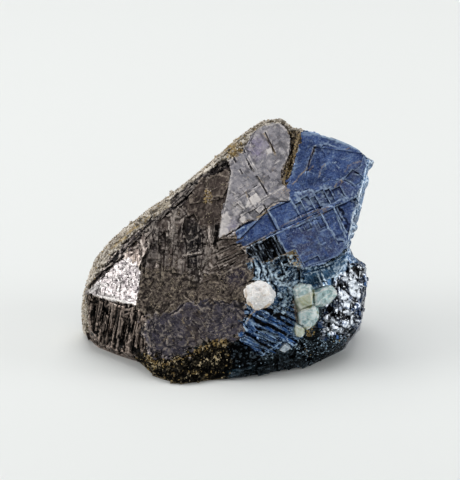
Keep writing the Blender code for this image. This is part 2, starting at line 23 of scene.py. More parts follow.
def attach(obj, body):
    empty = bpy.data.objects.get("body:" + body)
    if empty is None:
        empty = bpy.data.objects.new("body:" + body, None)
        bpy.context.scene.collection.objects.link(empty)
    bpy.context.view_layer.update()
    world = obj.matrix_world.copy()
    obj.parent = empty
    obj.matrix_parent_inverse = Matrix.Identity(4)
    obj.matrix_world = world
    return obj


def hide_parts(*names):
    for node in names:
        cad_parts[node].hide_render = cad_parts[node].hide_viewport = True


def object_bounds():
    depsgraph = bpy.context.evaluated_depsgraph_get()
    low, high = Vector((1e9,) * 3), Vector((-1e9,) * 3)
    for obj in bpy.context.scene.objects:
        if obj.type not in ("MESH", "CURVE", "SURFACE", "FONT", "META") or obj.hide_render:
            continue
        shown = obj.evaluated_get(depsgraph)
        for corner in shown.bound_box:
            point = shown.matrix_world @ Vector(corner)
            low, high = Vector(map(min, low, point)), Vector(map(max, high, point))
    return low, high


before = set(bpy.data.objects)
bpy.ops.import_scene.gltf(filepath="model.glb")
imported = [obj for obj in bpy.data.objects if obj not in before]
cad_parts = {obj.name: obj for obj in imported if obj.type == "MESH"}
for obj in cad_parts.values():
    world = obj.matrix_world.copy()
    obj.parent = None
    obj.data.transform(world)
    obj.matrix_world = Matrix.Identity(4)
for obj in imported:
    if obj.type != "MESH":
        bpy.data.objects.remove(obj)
CAD_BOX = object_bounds()
LOG = logging.getLogger("galena_specimen")
MM = 0.001
Array = np.ndarray
Colour = tuple[float, float, float]
Pixels = tuple[tuple[float, float], ...]
Span = tuple[float, float]


def tint(code: str) -> Colour:
    """Turns a colour of a screen, as six hexadecimal digits, into the linear values that shaders take."""
    levels = (int(code[place:place + 2], 16) for place in (0, 2, 4))
    return tuple(((c / 255 + 0.055) / 1.055) ** 2.4 if c > 10 else c / 3294.6 for c in levels)


def tints(codes: str) -> list[Colour]:
    """Turns several colours at once."""
    return [tint(code) for code in codes.split()]


class Zone(Enum):
    """The parts of the stone that look different."""
    BROWN = 0
    SLATE = 1
    BRIGHT = 2
    RIBBED = 3
    GREY = 4
    BLUE = 5
    STRIATED = 6
    SPARKLE = 7
    FOOT = 8
    CRUST = 9
    RIND = 10
    BACK = 11
    EDGE = 12
    ICE = 13
    GROOVE = 14
    LAMELLAE = 15
    PIT = 16
    TEAL = 17
    PLAIN = 18
    FLECKED = 19
    BAND = 20


class Mark(Enum):
    """What a stroke or a patch of the surface is painted with: pale marks are mostly painted highlights on
    edges and faces that catch the light, and also pale streaks of the stone; dark marks are mostly painted
    shade in gaps, pits and under steps, and also dark patches of the stone; gold and stain marks are the
    stone's own colour.
    """
    PALE = "pale"
    GOLD = "gold"
    DARK = "dark"
    STAIN = "stain"


@dataclass(frozen=True)
class Lattice:
    """Cubic cleavage axes: n looks out of the main face, u and v run along its edges."""
    origin: tuple[float, float, float]
    azimuth: float
    elevation: float
    roll: float

    def axes(self) -> Array:
        """Works out the axes.

        Returns:
            The unit vectors u, v and n, as the rows of a 3 by 3 array.
        """
        turn, rise, roll = (math.radians(a) for a in (self.azimuth, self.elevation, self.roll))
        n = np.array([math.sin(turn) * math.cos(rise), -math.cos(turn) * math.cos(rise), math.sin(rise)])
        level = np.cross([0.0, 0.0, 1.0], n)
        level /= np.linalg.norm(level)
        u = level * math.cos(roll) + np.cross(n, level) * math.sin(roll)
        return np.array([u, np.cross(n, u), n])

    def local(self, points: Array) -> Array:
        """Returns points of the stone in u, v and n."""
        return (points - np.array(self.origin)) @ self.axes().T


LATTICES = {
    Zone.BROWN: Lattice((-3.5, -11.0, 34.9), -12, 33, 3),
    Zone.SLATE: Lattice((-8.0, -19.6, 20.5), -6, 19, -8),
    Zone.BRIGHT: Lattice((-25.8, -10.6, 28.3), -43, 29, 10),
    Zone.RIBBED: Lattice((-26.9, -16.3, 19.5), -43.5, 6.5, -8),
    Zone.GREY: Lattice((-0.9, 3.1, 57.6), 5, 39, 33),
    Zone.BLUE: Lattice((15.4, -9.9, 40.2), 3, 36, 25),
    Zone.STRIATED: Lattice((15.0, -18.7, 20.0), 19, 23, -32),
    Zone.SPARKLE: Lattice((33.0, -9.0, 22.0), 44, 20, -24),
    Zone.FOOT: Lattice((25.0, -16.8, 0.0), 24, -21, 12),
}
PLANES = tuple(LATTICES.values())
# The zones that lie on another zone's crystal, and how far its axes are rolled there.
LATTICES |= {zone: replace(LATTICES[crystal], roll=roll) for zone, crystal, roll in (
    (Zone.EDGE, Zone.BROWN, 46), (Zone.RIND, Zone.BROWN, 46), (Zone.PLAIN, Zone.BROWN, -6),
    (Zone.FLECKED, Zone.BROWN, -36), (Zone.CRUST, Zone.SLATE, -8), (Zone.ICE, Zone.BLUE, -25),
    (Zone.GROOVE, Zone.BLUE, -17), (Zone.LAMELLAE, Zone.BLUE, 25), (Zone.PIT, Zone.BLUE, 25),
    (Zone.TEAL, Zone.STRIATED, 22), (Zone.BAND, Zone.STRIATED, 27))}
LATTICES[Zone.BACK] = Lattice((0.0, 27.0, 20.0), 172, 12, 17)


@dataclass(frozen=True)
class PhotoCamera:
    """The camera of the photograph, and where a point of the stone falls on its frame."""
    elevation: float = 22.0
    focal: float = 180.0
    sensor: float = 36.0
    distance: float = 720.0
    target: tuple[float, float, float] = (0.9, 0.0, 33.662)
    frame_size: tuple[int, int] = (460, 480)

    def directions(self) -> tuple[Array, Array, Array]:
        """Returns the unit vectors to the right, up and along the view."""
        rise = math.radians(self.elevation)
        up = np.array([0.0, math.sin(rise), math.cos(rise)])
        look = np.array([0.0, math.cos(rise), -math.sin(rise)])
        return np.array([1.0, 0.0, 0.0]), up, look

    def pixels(self, points: Array) -> Array:
        """Projects points onto the frame.

        Args:
            points: positions in millimetres, one a row.

        Returns:
            Their column and row in the frame, one pair a row.
        """
        right, up, look = self.directions()
        seen = points - (np.array(self.target) - look * self.distance)
        scale = self.focal / self.sensor * max(self.frame_size) / (seen @ look)
        middle = np.array(self.frame_size) / 2
        return np.stack([middle[0] + seen @ right * scale, middle[1] - seen @ up * scale], axis=1)

    def place(self) -> None:
        """Adds the camera to the scene."""
        data = bpy.data.cameras.new("photo_camera")
        data.lens, data.sensor_width, data.clip_end = self.focal, self.sensor, 50.0
        camera = bpy.data.objects.new("photo_camera", data)
        _, _, look = self.directions()
        camera.location = Vector((np.array(self.target) - look * self.distance) * MM)
        camera.rotation_euler = (math.radians(90 - self.elevation), 0.0, 0.0)
        bpy.context.scene.collection.objects.link(camera)
        bpy.context.scene.camera = camera


CAMERA = PhotoCamera()


def hashed(cells: Array, seed: int) -> Array:
    """A random number from 0 to 1 for each cell.

    The three whole numbers of a cell are multiplied by large odd numbers, added, and mixed by
    shifts and products until no pattern is left.

    Args:
        cells: whole numbers in the last axis, three a cell.
        seed: another seed gives other numbers.

    Returns:
        One number for each cell.
    """
    whole = cells.astype(np.int64).astype(np.uint64)
    mixed = whole[..., 0] * np.uint64(0x9E3779B97F4A7C15) + whole[..., 1] * np.uint64(0xC2B2AE3D27D4EB4F)
    mixed = mixed + whole[..., 2] * np.uint64(0x165667B19E3779F9) + np.uint64(seed * 7919 + 1)
    for shift in (29, 32):
        mixed = (mixed ^ (mixed >> np.uint64(shift))) * np.uint64(0xBF58476D1CE4E5B9)
    return (mixed >> np.uint64(40)).astype(float) / 2**24


def value_noise(points: Array, seed: int) -> Array:
    """Smooth noise from 0 to 1: random numbers at whole positions, blended along t²(3 - 2t).

    Args:
        points: positions, one a row, in units of the noise's own size.
        seed: another seed gives another pattern.

    Returns:
        One value for each position.
    """
    cell = np.floor(points)
    share = points - cell
    share = share * share * (3 - 2 * share)
    total = np.zeros(len(points))
    for corner in product((0, 1), repeat=3):
        weight = np.prod(np.where(corner, share, 1 - share), axis=1)
        total += weight * hashed(cell + np.array(corner), seed)
    return total


def fractal(points: Array, seed: int, octaves: int = 3) -> Array:
    """Noise from 0 to 1 in octaves: each is twice as fine as the last and counts half as much.

    Args:
        points: positions, one a row, in units of the coarsest octave.
        seed: another seed gives another pattern.
        octaves: how many.

    Returns:
        One value for each position.
    """
    weights = [0.5**octave for octave in range(octaves)]
    layers = (w * value_noise(points * 2**i, seed + i) for i, w in enumerate(weights))
    return sum(layers) / sum(weights)


def blocks(points: Array, seed: int) -> Array:
    """Rectangular tiles from 0 to 1: each row of cells is shifted by a random share, as in a wall.

    Args:
        points: positions, one a row, in units of a tile.
        seed: another seed gives other tiles.

    Returns:
        The value of the tile that each position is in.
    """
    row = np.floor(points[:, 1:])
    shift = hashed(np.concatenate([row, np.zeros((len(row), 1))], axis=1), seed + 17)
    cells = np.concatenate([np.floor(points[:, :1] + 3 * shift[:, None]), row], axis=1)
    return hashed(cells, seed)


def cracks(points: Array, seed: int) -> Array:
    """Thin lines between cells: where the two nearest of the cells' random centres are equally far.

    Args:
        points: positions, one a row, in units of a cell.
        seed: another seed gives another net.

    Returns:
        1 on a line, and 0 away from all lines.
    """
    cell = np.floor(points)
    nearest = np.full((len(points), 2), 9.0)
    for corner in product((-1, 0, 1), repeat=3):
        home = cell + np.array(corner)
        centre = home + np.stack([hashed(home, seed + way) for way in range(3)], axis=1)
        away = np.linalg.norm(points - centre, axis=1)
        nearest = np.sort(np.concatenate([nearest, away[:, None]], axis=1), axis=1)[:, :2]
    return 1 - smooth_step(nearest[:, 1] - nearest[:, 0], 0.03, 0.2)


def smooth_step(values: Array, low: float, high: float) -> Array:
    """Rises from 0 at low to 1 at high along t²(3 - 2t)."""
    share = np.clip((values - low) / (high - low), 0, 1)
    return share * share * (3 - 2 * share)


def inside(points: Array, outline: Pixels) -> Array:
    """Tells which points lie in an outline, by counting the sides that a ray to the right meets.

    Args:
        points: positions in two coordinates, one a row.
        outline: the corners in order.

    Returns:
        True for each point inside.
    """
    corners = np.array(outline, float)
    ends = np.roll(corners, -1, axis=0)
    x, y = points[:, :1], points[:, 1:2]
    spans = (corners[:, 1] > y) != (ends[:, 1] > y)
    rise = np.where(ends[:, 1] == corners[:, 1], 1.0, ends[:, 1] - corners[:, 1])
    meets = corners[:, 0] + (y - corners[:, 1]) / rise * (ends[:, 0] - corners[:, 0])
    return (spans & (x < meets)).sum(axis=1) % 2 == 1


def distance_to_line(points: Array, line: Pixels) -> Array:
    """The shortest distance from each point to a line of straight stretches.

    Args:
        points: positions in two coordinates, one a row.
        line: the line's corners in order.

    Returns:
        One distance for each point.
    """
    corners = np.array(line, float)
    best = np.full(len(points), np.inf)
    for start, end in zip(corners, corners[1:]):
        along = end - start
        share = np.clip(((points - start) @ along) / (along @ along), 0, 1)
        best = np.minimum(best, np.linalg.norm(points - start - share[:, None] * along, axis=1))
    return best


@dataclass
class TriangleMesh:
    """A closed surface of triangles that can be refined.

    PARTS has the faces that take a face's place when none, one, two or all of its edges are halved.
    Its corners are a, b and c there, and the middles of ab, bc and ca are p, q and r.
    """
    points: Array
    faces: Array
    PARTS = {0: ("abc",), 1: ("apc", "pbc"), 2: ("pbq", "apq", "aqc"), 3: ("apr", "pbq", "rqc", "pqr")}

    @classmethod
    def of_node(cls, name: str) -> "TriangleMesh":
        """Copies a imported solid, with the corners that its loose triangles share made one.

        Args:
            name: the solid's node.

        Returns:
            The surface, in millimetres.
        """
        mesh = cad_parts[name].data
        mesh.calc_loop_triangles()
        points = np.empty(len(mesh.vertices) * 3)
        mesh.vertices.foreach_get("co", points)
        faces = np.empty(len(mesh.loop_triangles) * 3, np.int32)
        mesh.loop_triangles.foreach_get("vertices", faces)
        points = points.reshape(-1, 3) / MM
        _, first, index = np.unique(np.round(points, 3), axis=0, return_index=True, return_inverse=True)
        faces = index.reshape(-1)[faces].reshape(-1, 3)
        whole = (faces != np.roll(faces, 1, axis=1)).all(axis=1)
        return cls(points[first], faces[whole])

    def edges(self) -> tuple[Array, Array]:
        """Finds the edges.

        Returns:
            The two ends of each edge, and for each face the edges from its corners 0, 1 and 2 on.
        """
        ends = np.concatenate([self.faces[:, [0, 1]], self.faces[:, [1, 2]], self.faces[:, [2, 0]]])
        ends.sort(axis=1)
        keys, index = np.unique(ends[:, 0].astype(np.int64) << 32 | ends[:, 1], return_inverse=True)
        return np.stack([keys >> 32, keys & 0xFFFFFFFF], axis=1), index.reshape(3, -1).T

    def joins(self) -> tuple[Array, Array, Array]:
        """Finds the two faces at each edge.

        Returns:
            The two ends of each edge, the two faces at it, and the corner of each that it starts from.
        """
        edges, sides = self.edges()
        order = np.argsort(sides.T.reshape(-1), kind="stable").reshape(-1, 2)
        return edges, order % len(self.faces), order // len(self.faces)

    def face_normals(self) -> Array:
        """Returns the normal of each face, as long as twice its area."""
        a, b, c = (self.points[self.faces[:, corner]] for corner in range(3))
        return np.cross(b - a, c - a)

    def vertex_normals(self) -> Array:
        """Returns a unit normal at each point, from the faces round it weighted by their area."""
        normals = self.face_normals()
        total = np.stack([
            sum(np.bincount(self.faces[:, corner], normals[:, axis], len(self.points)) for corner in range(3))
            for axis in range(3)
        ], axis=1)
        return total / np.maximum(np.linalg.norm(total, axis=1, keepdims=True), 1e-12)

    def split(self, longest: Array) -> bool:
        """Halves the edges that are too long, and parts each face to match.

        Args:
            longest: the greatest length of an edge at each point.

        Returns:
            Whether anything was too long.
        """
        edges, sides = self.edges()
        reach = np.linalg.norm(self.points[edges[:, 0]] - self.points[edges[:, 1]], axis=1)
        marked = reach > longest[edges].min(axis=1)
        if not marked.any():
            return False
        middle = np.full(len(edges), -1)
        middle[marked] = len(self.points) + np.arange(marked.sum())
        self.points = np.concatenate([self.points, self.points[edges[marked]].mean(axis=1)])
        halves = middle[sides]
        count = (halves >= 0).sum(axis=1)
        turn = np.where(count == 1, (halves >= 0).argmax(axis=1), ((halves < 0).argmax(axis=1) + 1) % 3)
        turn = np.where(count % 3 == 0, 0, turn)
        order = (turn[:, None] + np.arange(3)) % 3
        corners = np.take_along_axis(self.faces, order, axis=1)
        halves = np.take_along_axis(halves, order, axis=1)
        spots = dict(zip("abcpqr", (*corners.T, *halves.T)))
        self.faces = np.concatenate([
            np.stack([spots[name] for name in part], axis=1)[count == halved]
            for halved, parts in self.PARTS.items() for part in parts])
        return True

    def flip(self, rng: np.random.Generator) -> int:
        """Turns edges between two flat faces where that makes rounder triangles.

        An edge turns where the two angles across it add up to more than half a turn, and where the
        four corners lie in one plane. A face takes part in one turn at a time.

        Args:
            rng: decides which of two neighbouring edges goes first.

        Returns:
            How many edges were turned.
        """
        edges, joined, start = self.joins()
        (near_face, far_face), (near_corner, far_corner) = joined.T, start.T
        a = self.faces[near_face, near_corner]
        b = self.faces[near_face, (near_corner + 1) % 3]
        c = self.faces[near_face, (near_corner + 2) % 3]
        d = self.faces[far_face, (far_corner + 2) % 3]
        pa, pb, pc, pd = (self.points[corner] for corner in (a, b, c, d))
        near_normal, far_normal = np.cross(pb - pa, pc - pa), np.cross(pa - pb, pd - pb)
        width = np.linalg.norm(pb - pa, axis=1)
        normal = near_normal + far_normal
        normal /= np.maximum(np.linalg.norm(normal, axis=1, keepdims=True), 1e-12)
        bend = np.abs(((pc - pa) * normal).sum(axis=1)) + np.abs(((pd - pa) * normal).sum(axis=1))
        cot_near, cot_far = (
            ((pa - tip) * (pb - tip)).sum(axis=1) / np.maximum(np.linalg.norm(area, axis=1), 1e-9)
            for tip, area in ((pc, near_normal), (pd, far_normal)))
        wanted = (cot_near + cot_far < -1e-3) & (bend < 0.002) & (width > 1e-6)
        keys = edges[:, 0] << 32 | edges[:, 1]
        fresh = np.minimum(c, d).astype(np.int64) << 32 | np.maximum(c, d)
        wanted &= ~np.isin(fresh, keys) & (c != d)
        rank = np.where(wanted, rng.permutation(len(edges)) + 1, 0)
        top = np.zeros(len(self.faces), np.int64)
        np.maximum.at(top, near_face, rank)
        np.maximum.at(top, far_face, rank)
        chosen = wanted & (top[near_face] == rank) & (top[far_face] == rank)
        _, once = np.unique(np.where(chosen, fresh, -1), return_index=True)
        chosen &= np.isin(np.arange(len(edges)), once)
        self.faces[near_face[chosen]] = np.stack([a, d, c], axis=1)[chosen]
        self.faces[far_face[chosen]] = np.stack([d, b, c], axis=1)[chosen]
        return int(chosen.sum())

    def tidy_triangles(self, rng: np.random.Generator, rounds: int) -> None:
        """Turns edges a number of times over, or until none is left to turn."""
        for _ in range(rounds):
            if self.flip(rng) == 0:
                break

    def averaged(self, values: Array, rounds: int) -> Array:
        """Averages values at the points over their neighbours.

        Args:
            values: one row for each point.
            rounds: how many times over.

        Returns:
            The averages, one row for each point.
        """
        edges, _ = self.edges()
        count = np.bincount(edges.ravel(), minlength=len(values))
        for _ in range(rounds):
            total = np.stack([
                np.bincount(edges[:, 0], values[edges[:, 1], axis], len(values))
                + np.bincount(edges[:, 1], values[edges[:, 0], axis], len(values))
                for axis in range(values.shape[1])
            ], axis=1)
            values = total / np.maximum(count[:, None], 1)
        return values

    def crease(self) -> Array:
        """Measures how each point stands on an edge of the shape.

        Returns:
            For each point the sine of the sharpest bend there: above 0 on a ridge and below 0 in a
            groove.
        """
        edges, face, corner = self.joins()
        normals = self.face_normals()
        normals /= np.maximum(np.linalg.norm(normals, axis=1, keepdims=True), 1e-9)
        bend = np.linalg.norm(np.cross(normals[face[:, 0]], normals[face[:, 1]]), axis=1)
        beyond = self.points[self.faces[face[:, 1], (corner[:, 1] + 2) % 3]] - self.points[edges[:, 0]]
        bend = np.where((beyond * normals[face[:, 0]]).sum(axis=1) > 0, -bend, bend)
        sharpest = np.zeros(len(self.points))
        for end in range(2):
            for sign in (1, -1):
                part = np.zeros(len(self.points))
                np.maximum.at(part, edges[:, end], sign * bend)
                sharpest = np.where(part > np.abs(sharpest), sign * part, sharpest)
        return sharpest


@dataclass(frozen=True)
class Piece:
    """A mesh on its way into the scene, with what its materials read from it, by domain and name."""
    name: str
    points: Array
    faces: Array
    materials: list[bpy.types.Material]
    values: dict[str, dict[str, Array]]
    material_of_face: Array | None = None
    smooth_angle: float | None = None

    def write(self, slot: str, replaced: str | None = None) -> None:
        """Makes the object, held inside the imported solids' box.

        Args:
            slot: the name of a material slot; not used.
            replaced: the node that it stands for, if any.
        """
        low, high = (np.array(corner) for corner in CAD_BOX)
        mesh = bpy.data.meshes.new(self.name)
        mesh.vertices.add(len(self.points))
        mesh.vertices.foreach_set("co", np.clip(self.points * MM, low, high).ravel())
        sides = self.faces.shape[1]
        mesh.loops.add(self.faces.size)
        mesh.loops.foreach_set("vertex_index", self.faces.ravel())
        mesh.polygons.add(len(self.faces))
        mesh.polygons.foreach_set("loop_start", np.arange(0, self.faces.size, sides))
        for material in self.materials:
            mesh.materials.append(material)
        if self.material_of_face is not None:
            mesh.polygons.foreach_set("material_index", self.material_of_face)
        mesh.update(calc_edges=True)
        for domain, values in self.values.items():
            for name, value in values.items():
                kind, key = ("FLOAT_VECTOR", "vector") if value.ndim == 2 else ("FLOAT", "value")
                stored = mesh.attributes.new(name, kind, domain)
                stored.data.foreach_set(key, value.astype(np.float32).ravel())
        if self.smooth_angle is None:
            mesh.shade_flat()
        else:
            mesh.shade_smooth()
            mesh.set_sharp_from_angle(angle=math.radians(self.smooth_angle))
        made = bpy.data.objects.new(self.name, mesh)
        bpy.context.scene.collection.objects.link(made)
        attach(made, "root")
        if replaced:
            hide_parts(replaced)
        LOG.info("%s: %d points, %d faces", self.name, len(self.points), len(self.faces))


class Sketch:
    """Adds nodes and links to one node tree."""

    def __init__(self, tree: bpy.types.NodeTree) -> None:
        """Takes the tree to draw in."""
        self.tree = tree

    def add(self, kind: str, sockets: dict[int | str, Any] | None = None, **settings: Any) -> bpy.types.Node:
        """Adds a node.

        Args:
            kind: the node's type.
            sockets: for each input a value, or the output that feeds it.
            **settings: the node's own properties.

        Returns:
            The node.
        """
        node = self.tree.nodes.new(kind)
        for name, value in settings.items():
            setattr(node, name, value)
        self.feed(node, sockets or {})
        return node

    def feed(self, node: bpy.types.Node, sockets: dict[int | str, Any]) -> None:
        """Sets inputs of a node.

        Args:
            node: the node.
            sockets: for each input a value, or the output that feeds it.
        """
        for key, value in sockets.items():
            if isinstance(value, bpy.types.NodeSocket):
                self.tree.links.new(value, node.inputs[key])
            else:
                node.inputs[key].default_value = value

    def math(self, operation: str, first: Any, second: Any = 0.0) -> bpy.types.NodeSocket:
        """Returns the result of a sum on two numbers, held between 0 and 1."""
        node = self.add("ShaderNodeMath", {0: first, 1: second}, operation=operation, use_clamp=True)
        return node.outputs[0]

    def mix(self, share: Any, first: Any, second: Any, blend: str = "MIX") -> bpy.types.NodeSocket:
        """Mixes two colours; a mix node has its colours at the inputs 6 and 7 and the output 2.

        Args:
            share: how much of the second, from 0 to 1.
            first: a colour, or an output that gives one.
            second: the same.
            blend: the way of mixing.

        Returns:
            The output that gives the mixed colour.
        """
        first, second = (c if isinstance(c, bpy.types.NodeSocket) else (*c, 1.0) for c in (first, second))
        node = self.add("ShaderNodeMix", {0: share, 6: first, 7: second}, data_type="RGBA", blend_type=blend)
        return node.outputs[2]

    def between(
        self, value: Any, low: Any, high: Any, bottom: float = 0.0, top: float = 1.0
    ) -> bpy.types.NodeSocket:
        """Returns a value stretched so that low gives bottom and high gives top."""
        node = self.add("ShaderNodeMapRange", {0: value, 1: low, 2: high, 3: bottom, 4: top})
        return node.outputs[0]

    def noise(
        self, vector: Any, scale: Any, detail: float = 3.0, roughness: float = 0.55
    ) -> bpy.types.NodeSocket:
        """Returns soft noise from 0 to 1 at a number of lumps to the unit."""
        sockets = {"Vector": vector, "Scale": scale, "Detail": detail, "Roughness": roughness}
        return self.add("ShaderNodeTexNoise", sockets).outputs[0]

    def stretched(self, vector: Any, by: Any, operation: str) -> bpy.types.NodeSocket:
        """Returns a vector with a sum done on each of its parts."""
        return self.add("ShaderNodeVectorMath", {0: vector, 1: by}, operation=operation).outputs[0]

    def bump(self, strength: Any, distance: float, height: Any) -> bpy.types.NodeSocket:
        """Returns a normal bent by a height, with the distance in metres."""
        sockets = {"Strength": strength, "Distance": distance, "Height": height}
        return self.add("ShaderNodeBump", sockets).outputs[0]

    def attribute(self, name: str, vector: bool = False) -> bpy.types.NodeSocket:
        """Returns what the mesh stores under a name."""
        node = self.add("ShaderNodeAttribute", attribute_name=name)
        return node.outputs["Vector" if vector else "Fac"]


def new_material(name: str) -> tuple[bpy.types.Material, Sketch, bpy.types.Node]:
    """Adds a material.

    Args:
        name: the material's name.

    Returns:
        The material, a sketch of its node tree, and its shader.
    """
    made = bpy.data.materials.new(name)
    made.use_nodes = True
    return made, Sketch(made.node_tree), made.node_tree.nodes["Principled BSDF"]


@dataclass(frozen=True)
class SharedEffect:
    """An effect that more than one material uses: a node group with one output, built once."""
    name: str
    inputs: dict[str, str]
    output: tuple[str, str]
    draw: Callable[[Sketch, Any], bpy.types.NodeSocket]

    def group(self) -> bpy.types.NodeTree:
        """Returns the node group, which the first call builds."""
        if self.name in bpy.data.node_groups:
            return bpy.data.node_groups[self.name]
        made = bpy.data.node_groups.new(self.name, "ShaderNodeTree")
        for way, sockets in (("INPUT", self.inputs.items()), ("OUTPUT", (self.output,))):
            for socket, kind in sockets:
                made.interface.new_socket(socket, in_out=way, socket_type=f"NodeSocket{kind}")
        sketch = Sketch(made)
        result = self.draw(sketch, sketch.add("NodeGroupInput").outputs)
        sketch.add("NodeGroupOutput", {0: result})
        return made

    def use(self, sketch: Sketch, **sockets: Any) -> bpy.types.NodeSocket:
        """Returns the effect's output, for a value or an output at each of its sockets."""
        named = {name.capitalize(): value for name, value in sockets.items()}
        return sketch.add("ShaderNodeGroup", named, node_tree=self.group()).outputs[0]


def draw_streaks(sketch: Sketch, given: Any) -> bpy.types.NodeSocket:
    """Fine lines along one crystal axis: noise on coordinates that are divided by a size.

    Args:
        sketch: the group's tree.
        given: the group's inputs.

    Returns:
        The output that gives how far each place is on a bright line, from 0 to 1.
    """
    spot = sketch.stretched(given["Lattice"], given["Size"], "DIVIDE")
    half = sketch.math("MULTIPLY", given["Contrast"], 0.5)
    low, high = (sketch.math(way, 0.5, half) for way in ("SUBTRACT", "ADD"))
    return sketch.between(sketch.noise(spot, 1.0, 4.0, 0.6), low, high)


def draw_flecks(sketch: Sketch, given: Any) -> bpy.types.NodeSocket:
    """Small bright specks: where fine noise rises over a threshold, gathered by coarse noise.

    Args:
        sketch: the group's tree.
        given: the group's inputs.

    Returns:
        The output that gives how far each place is on a speck, from 0 to 1.
    """
    fine = sketch.noise(given["Lattice"], given["Scale"], 1.0)
    gathered = sketch.between(sketch.noise(given["Lattice"], 0.35, 2.0), 0.3, 0.7, -0.1, 0.1)
    edge = sketch.math("SUBTRACT", 1.0, given["Share"])
    return sketch.between(sketch.math("ADD", fine, gathered), edge, sketch.math("ADD", edge, 0.06))


def draw_hairlines(sketch: Sketch, given: Any) -> bpy.types.NodeSocket:
    """Thin broken lines: the borders of irregular cells, on coordinates that noise has swayed.

    Args:
        sketch: the group's tree.
        given: the group's inputs.

    Returns:
        The output that gives how far each place is on a line, from 0 to 1.
    """
    sway = sketch.add("ShaderNodeTexNoise", {"Vector": given["Lattice"], "Scale": 0.7, "Detail": 3.0})
    moved = sketch.stretched(sway.outputs["Color"], (3.0, 3.0, 3.0), "MULTIPLY")
    sockets = {"Vector": sketch.stretched(given["Lattice"], moved, "ADD"), "Scale": given["Scale"]}
    cells = sketch.add("ShaderNodeTexVoronoi", sockets, feature="DISTANCE_TO_EDGE")
    line = sketch.between(cells.outputs["Distance"], 0.045, 0.015)
    kept = sketch.between(sketch.noise(given["Lattice"], 0.6, 2.0), 0.44, 0.58)
    return sketch.math("MULTIPLY", line, kept)


def draw_ridge_highlight(sketch: Sketch, given: Any) -> bpy.types.NodeSocket:
    """Painted highlights on edges: the mesh's own ridge value, broken up by noise.

    Args:
        sketch: the group's tree.
        given: the group's inputs.

    Returns:
        The output that gives how strongly each place is highlighted, from 0 to 1.
    """
    patchy = sketch.between(sketch.noise(given["Lattice"], 1.1, 3.0), 0.35, 0.6)
    ridge = sketch.between(given["Ridge"], 0.25, 0.8)
    return sketch.math("MULTIPLY", sketch.math("MULTIPLY", patchy, ridge), given["Amount"])


def draw_grain(sketch: Sketch, given: Any) -> bpy.types.NodeSocket:
    """The finest roughness: a bump from fine noise and from streaks.

    Args:
        sketch: the group's tree.
        given: the group's inputs.

    Returns:
        The output that gives the bent normal.
    """
    fine = sketch.noise(given["Lattice"], given["Scale"], 3.0, 0.65)
    lumps, lines = sketch.math("MULTIPLY", fine, 0.6), sketch.math("MULTIPLY", given["Streaks"], 0.4)
    return sketch.bump(given["Strength"], 0.0002, sketch.math("ADD", lumps, lines))


STREAKS = SharedEffect(
    "lattice_streaks", {"Lattice": "Vector", "Size": "Vector", "Contrast": "Float"}, ("Streaks", "Float"),
    draw_streaks)
FLECKS = SharedEffect(
    "mineral_flecks", {"Lattice": "Vector", "Scale": "Float", "Share": "Float"}, ("Flecks", "Float"),
    draw_flecks)
HAIRLINES = SharedEffect(
    "hairline_cracks", {"Lattice": "Vector", "Scale": "Float"}, ("Lines", "Float"), draw_hairlines)
RIDGE_HIGHLIGHT = SharedEffect(
    "cleavage_ridge_highlight", {"Lattice": "Vector", "Ridge": "Float", "Amount": "Float"}, ("Wear", "Float"),
    draw_ridge_highlight)
GRAIN_BUMP = SharedEffect(
    "fine_grain_bump", {"Lattice": "Vector", "Streaks": "Float", "Scale": "Float", "Strength": "Float"},
    ("Normal", "Vector"), draw_grain)


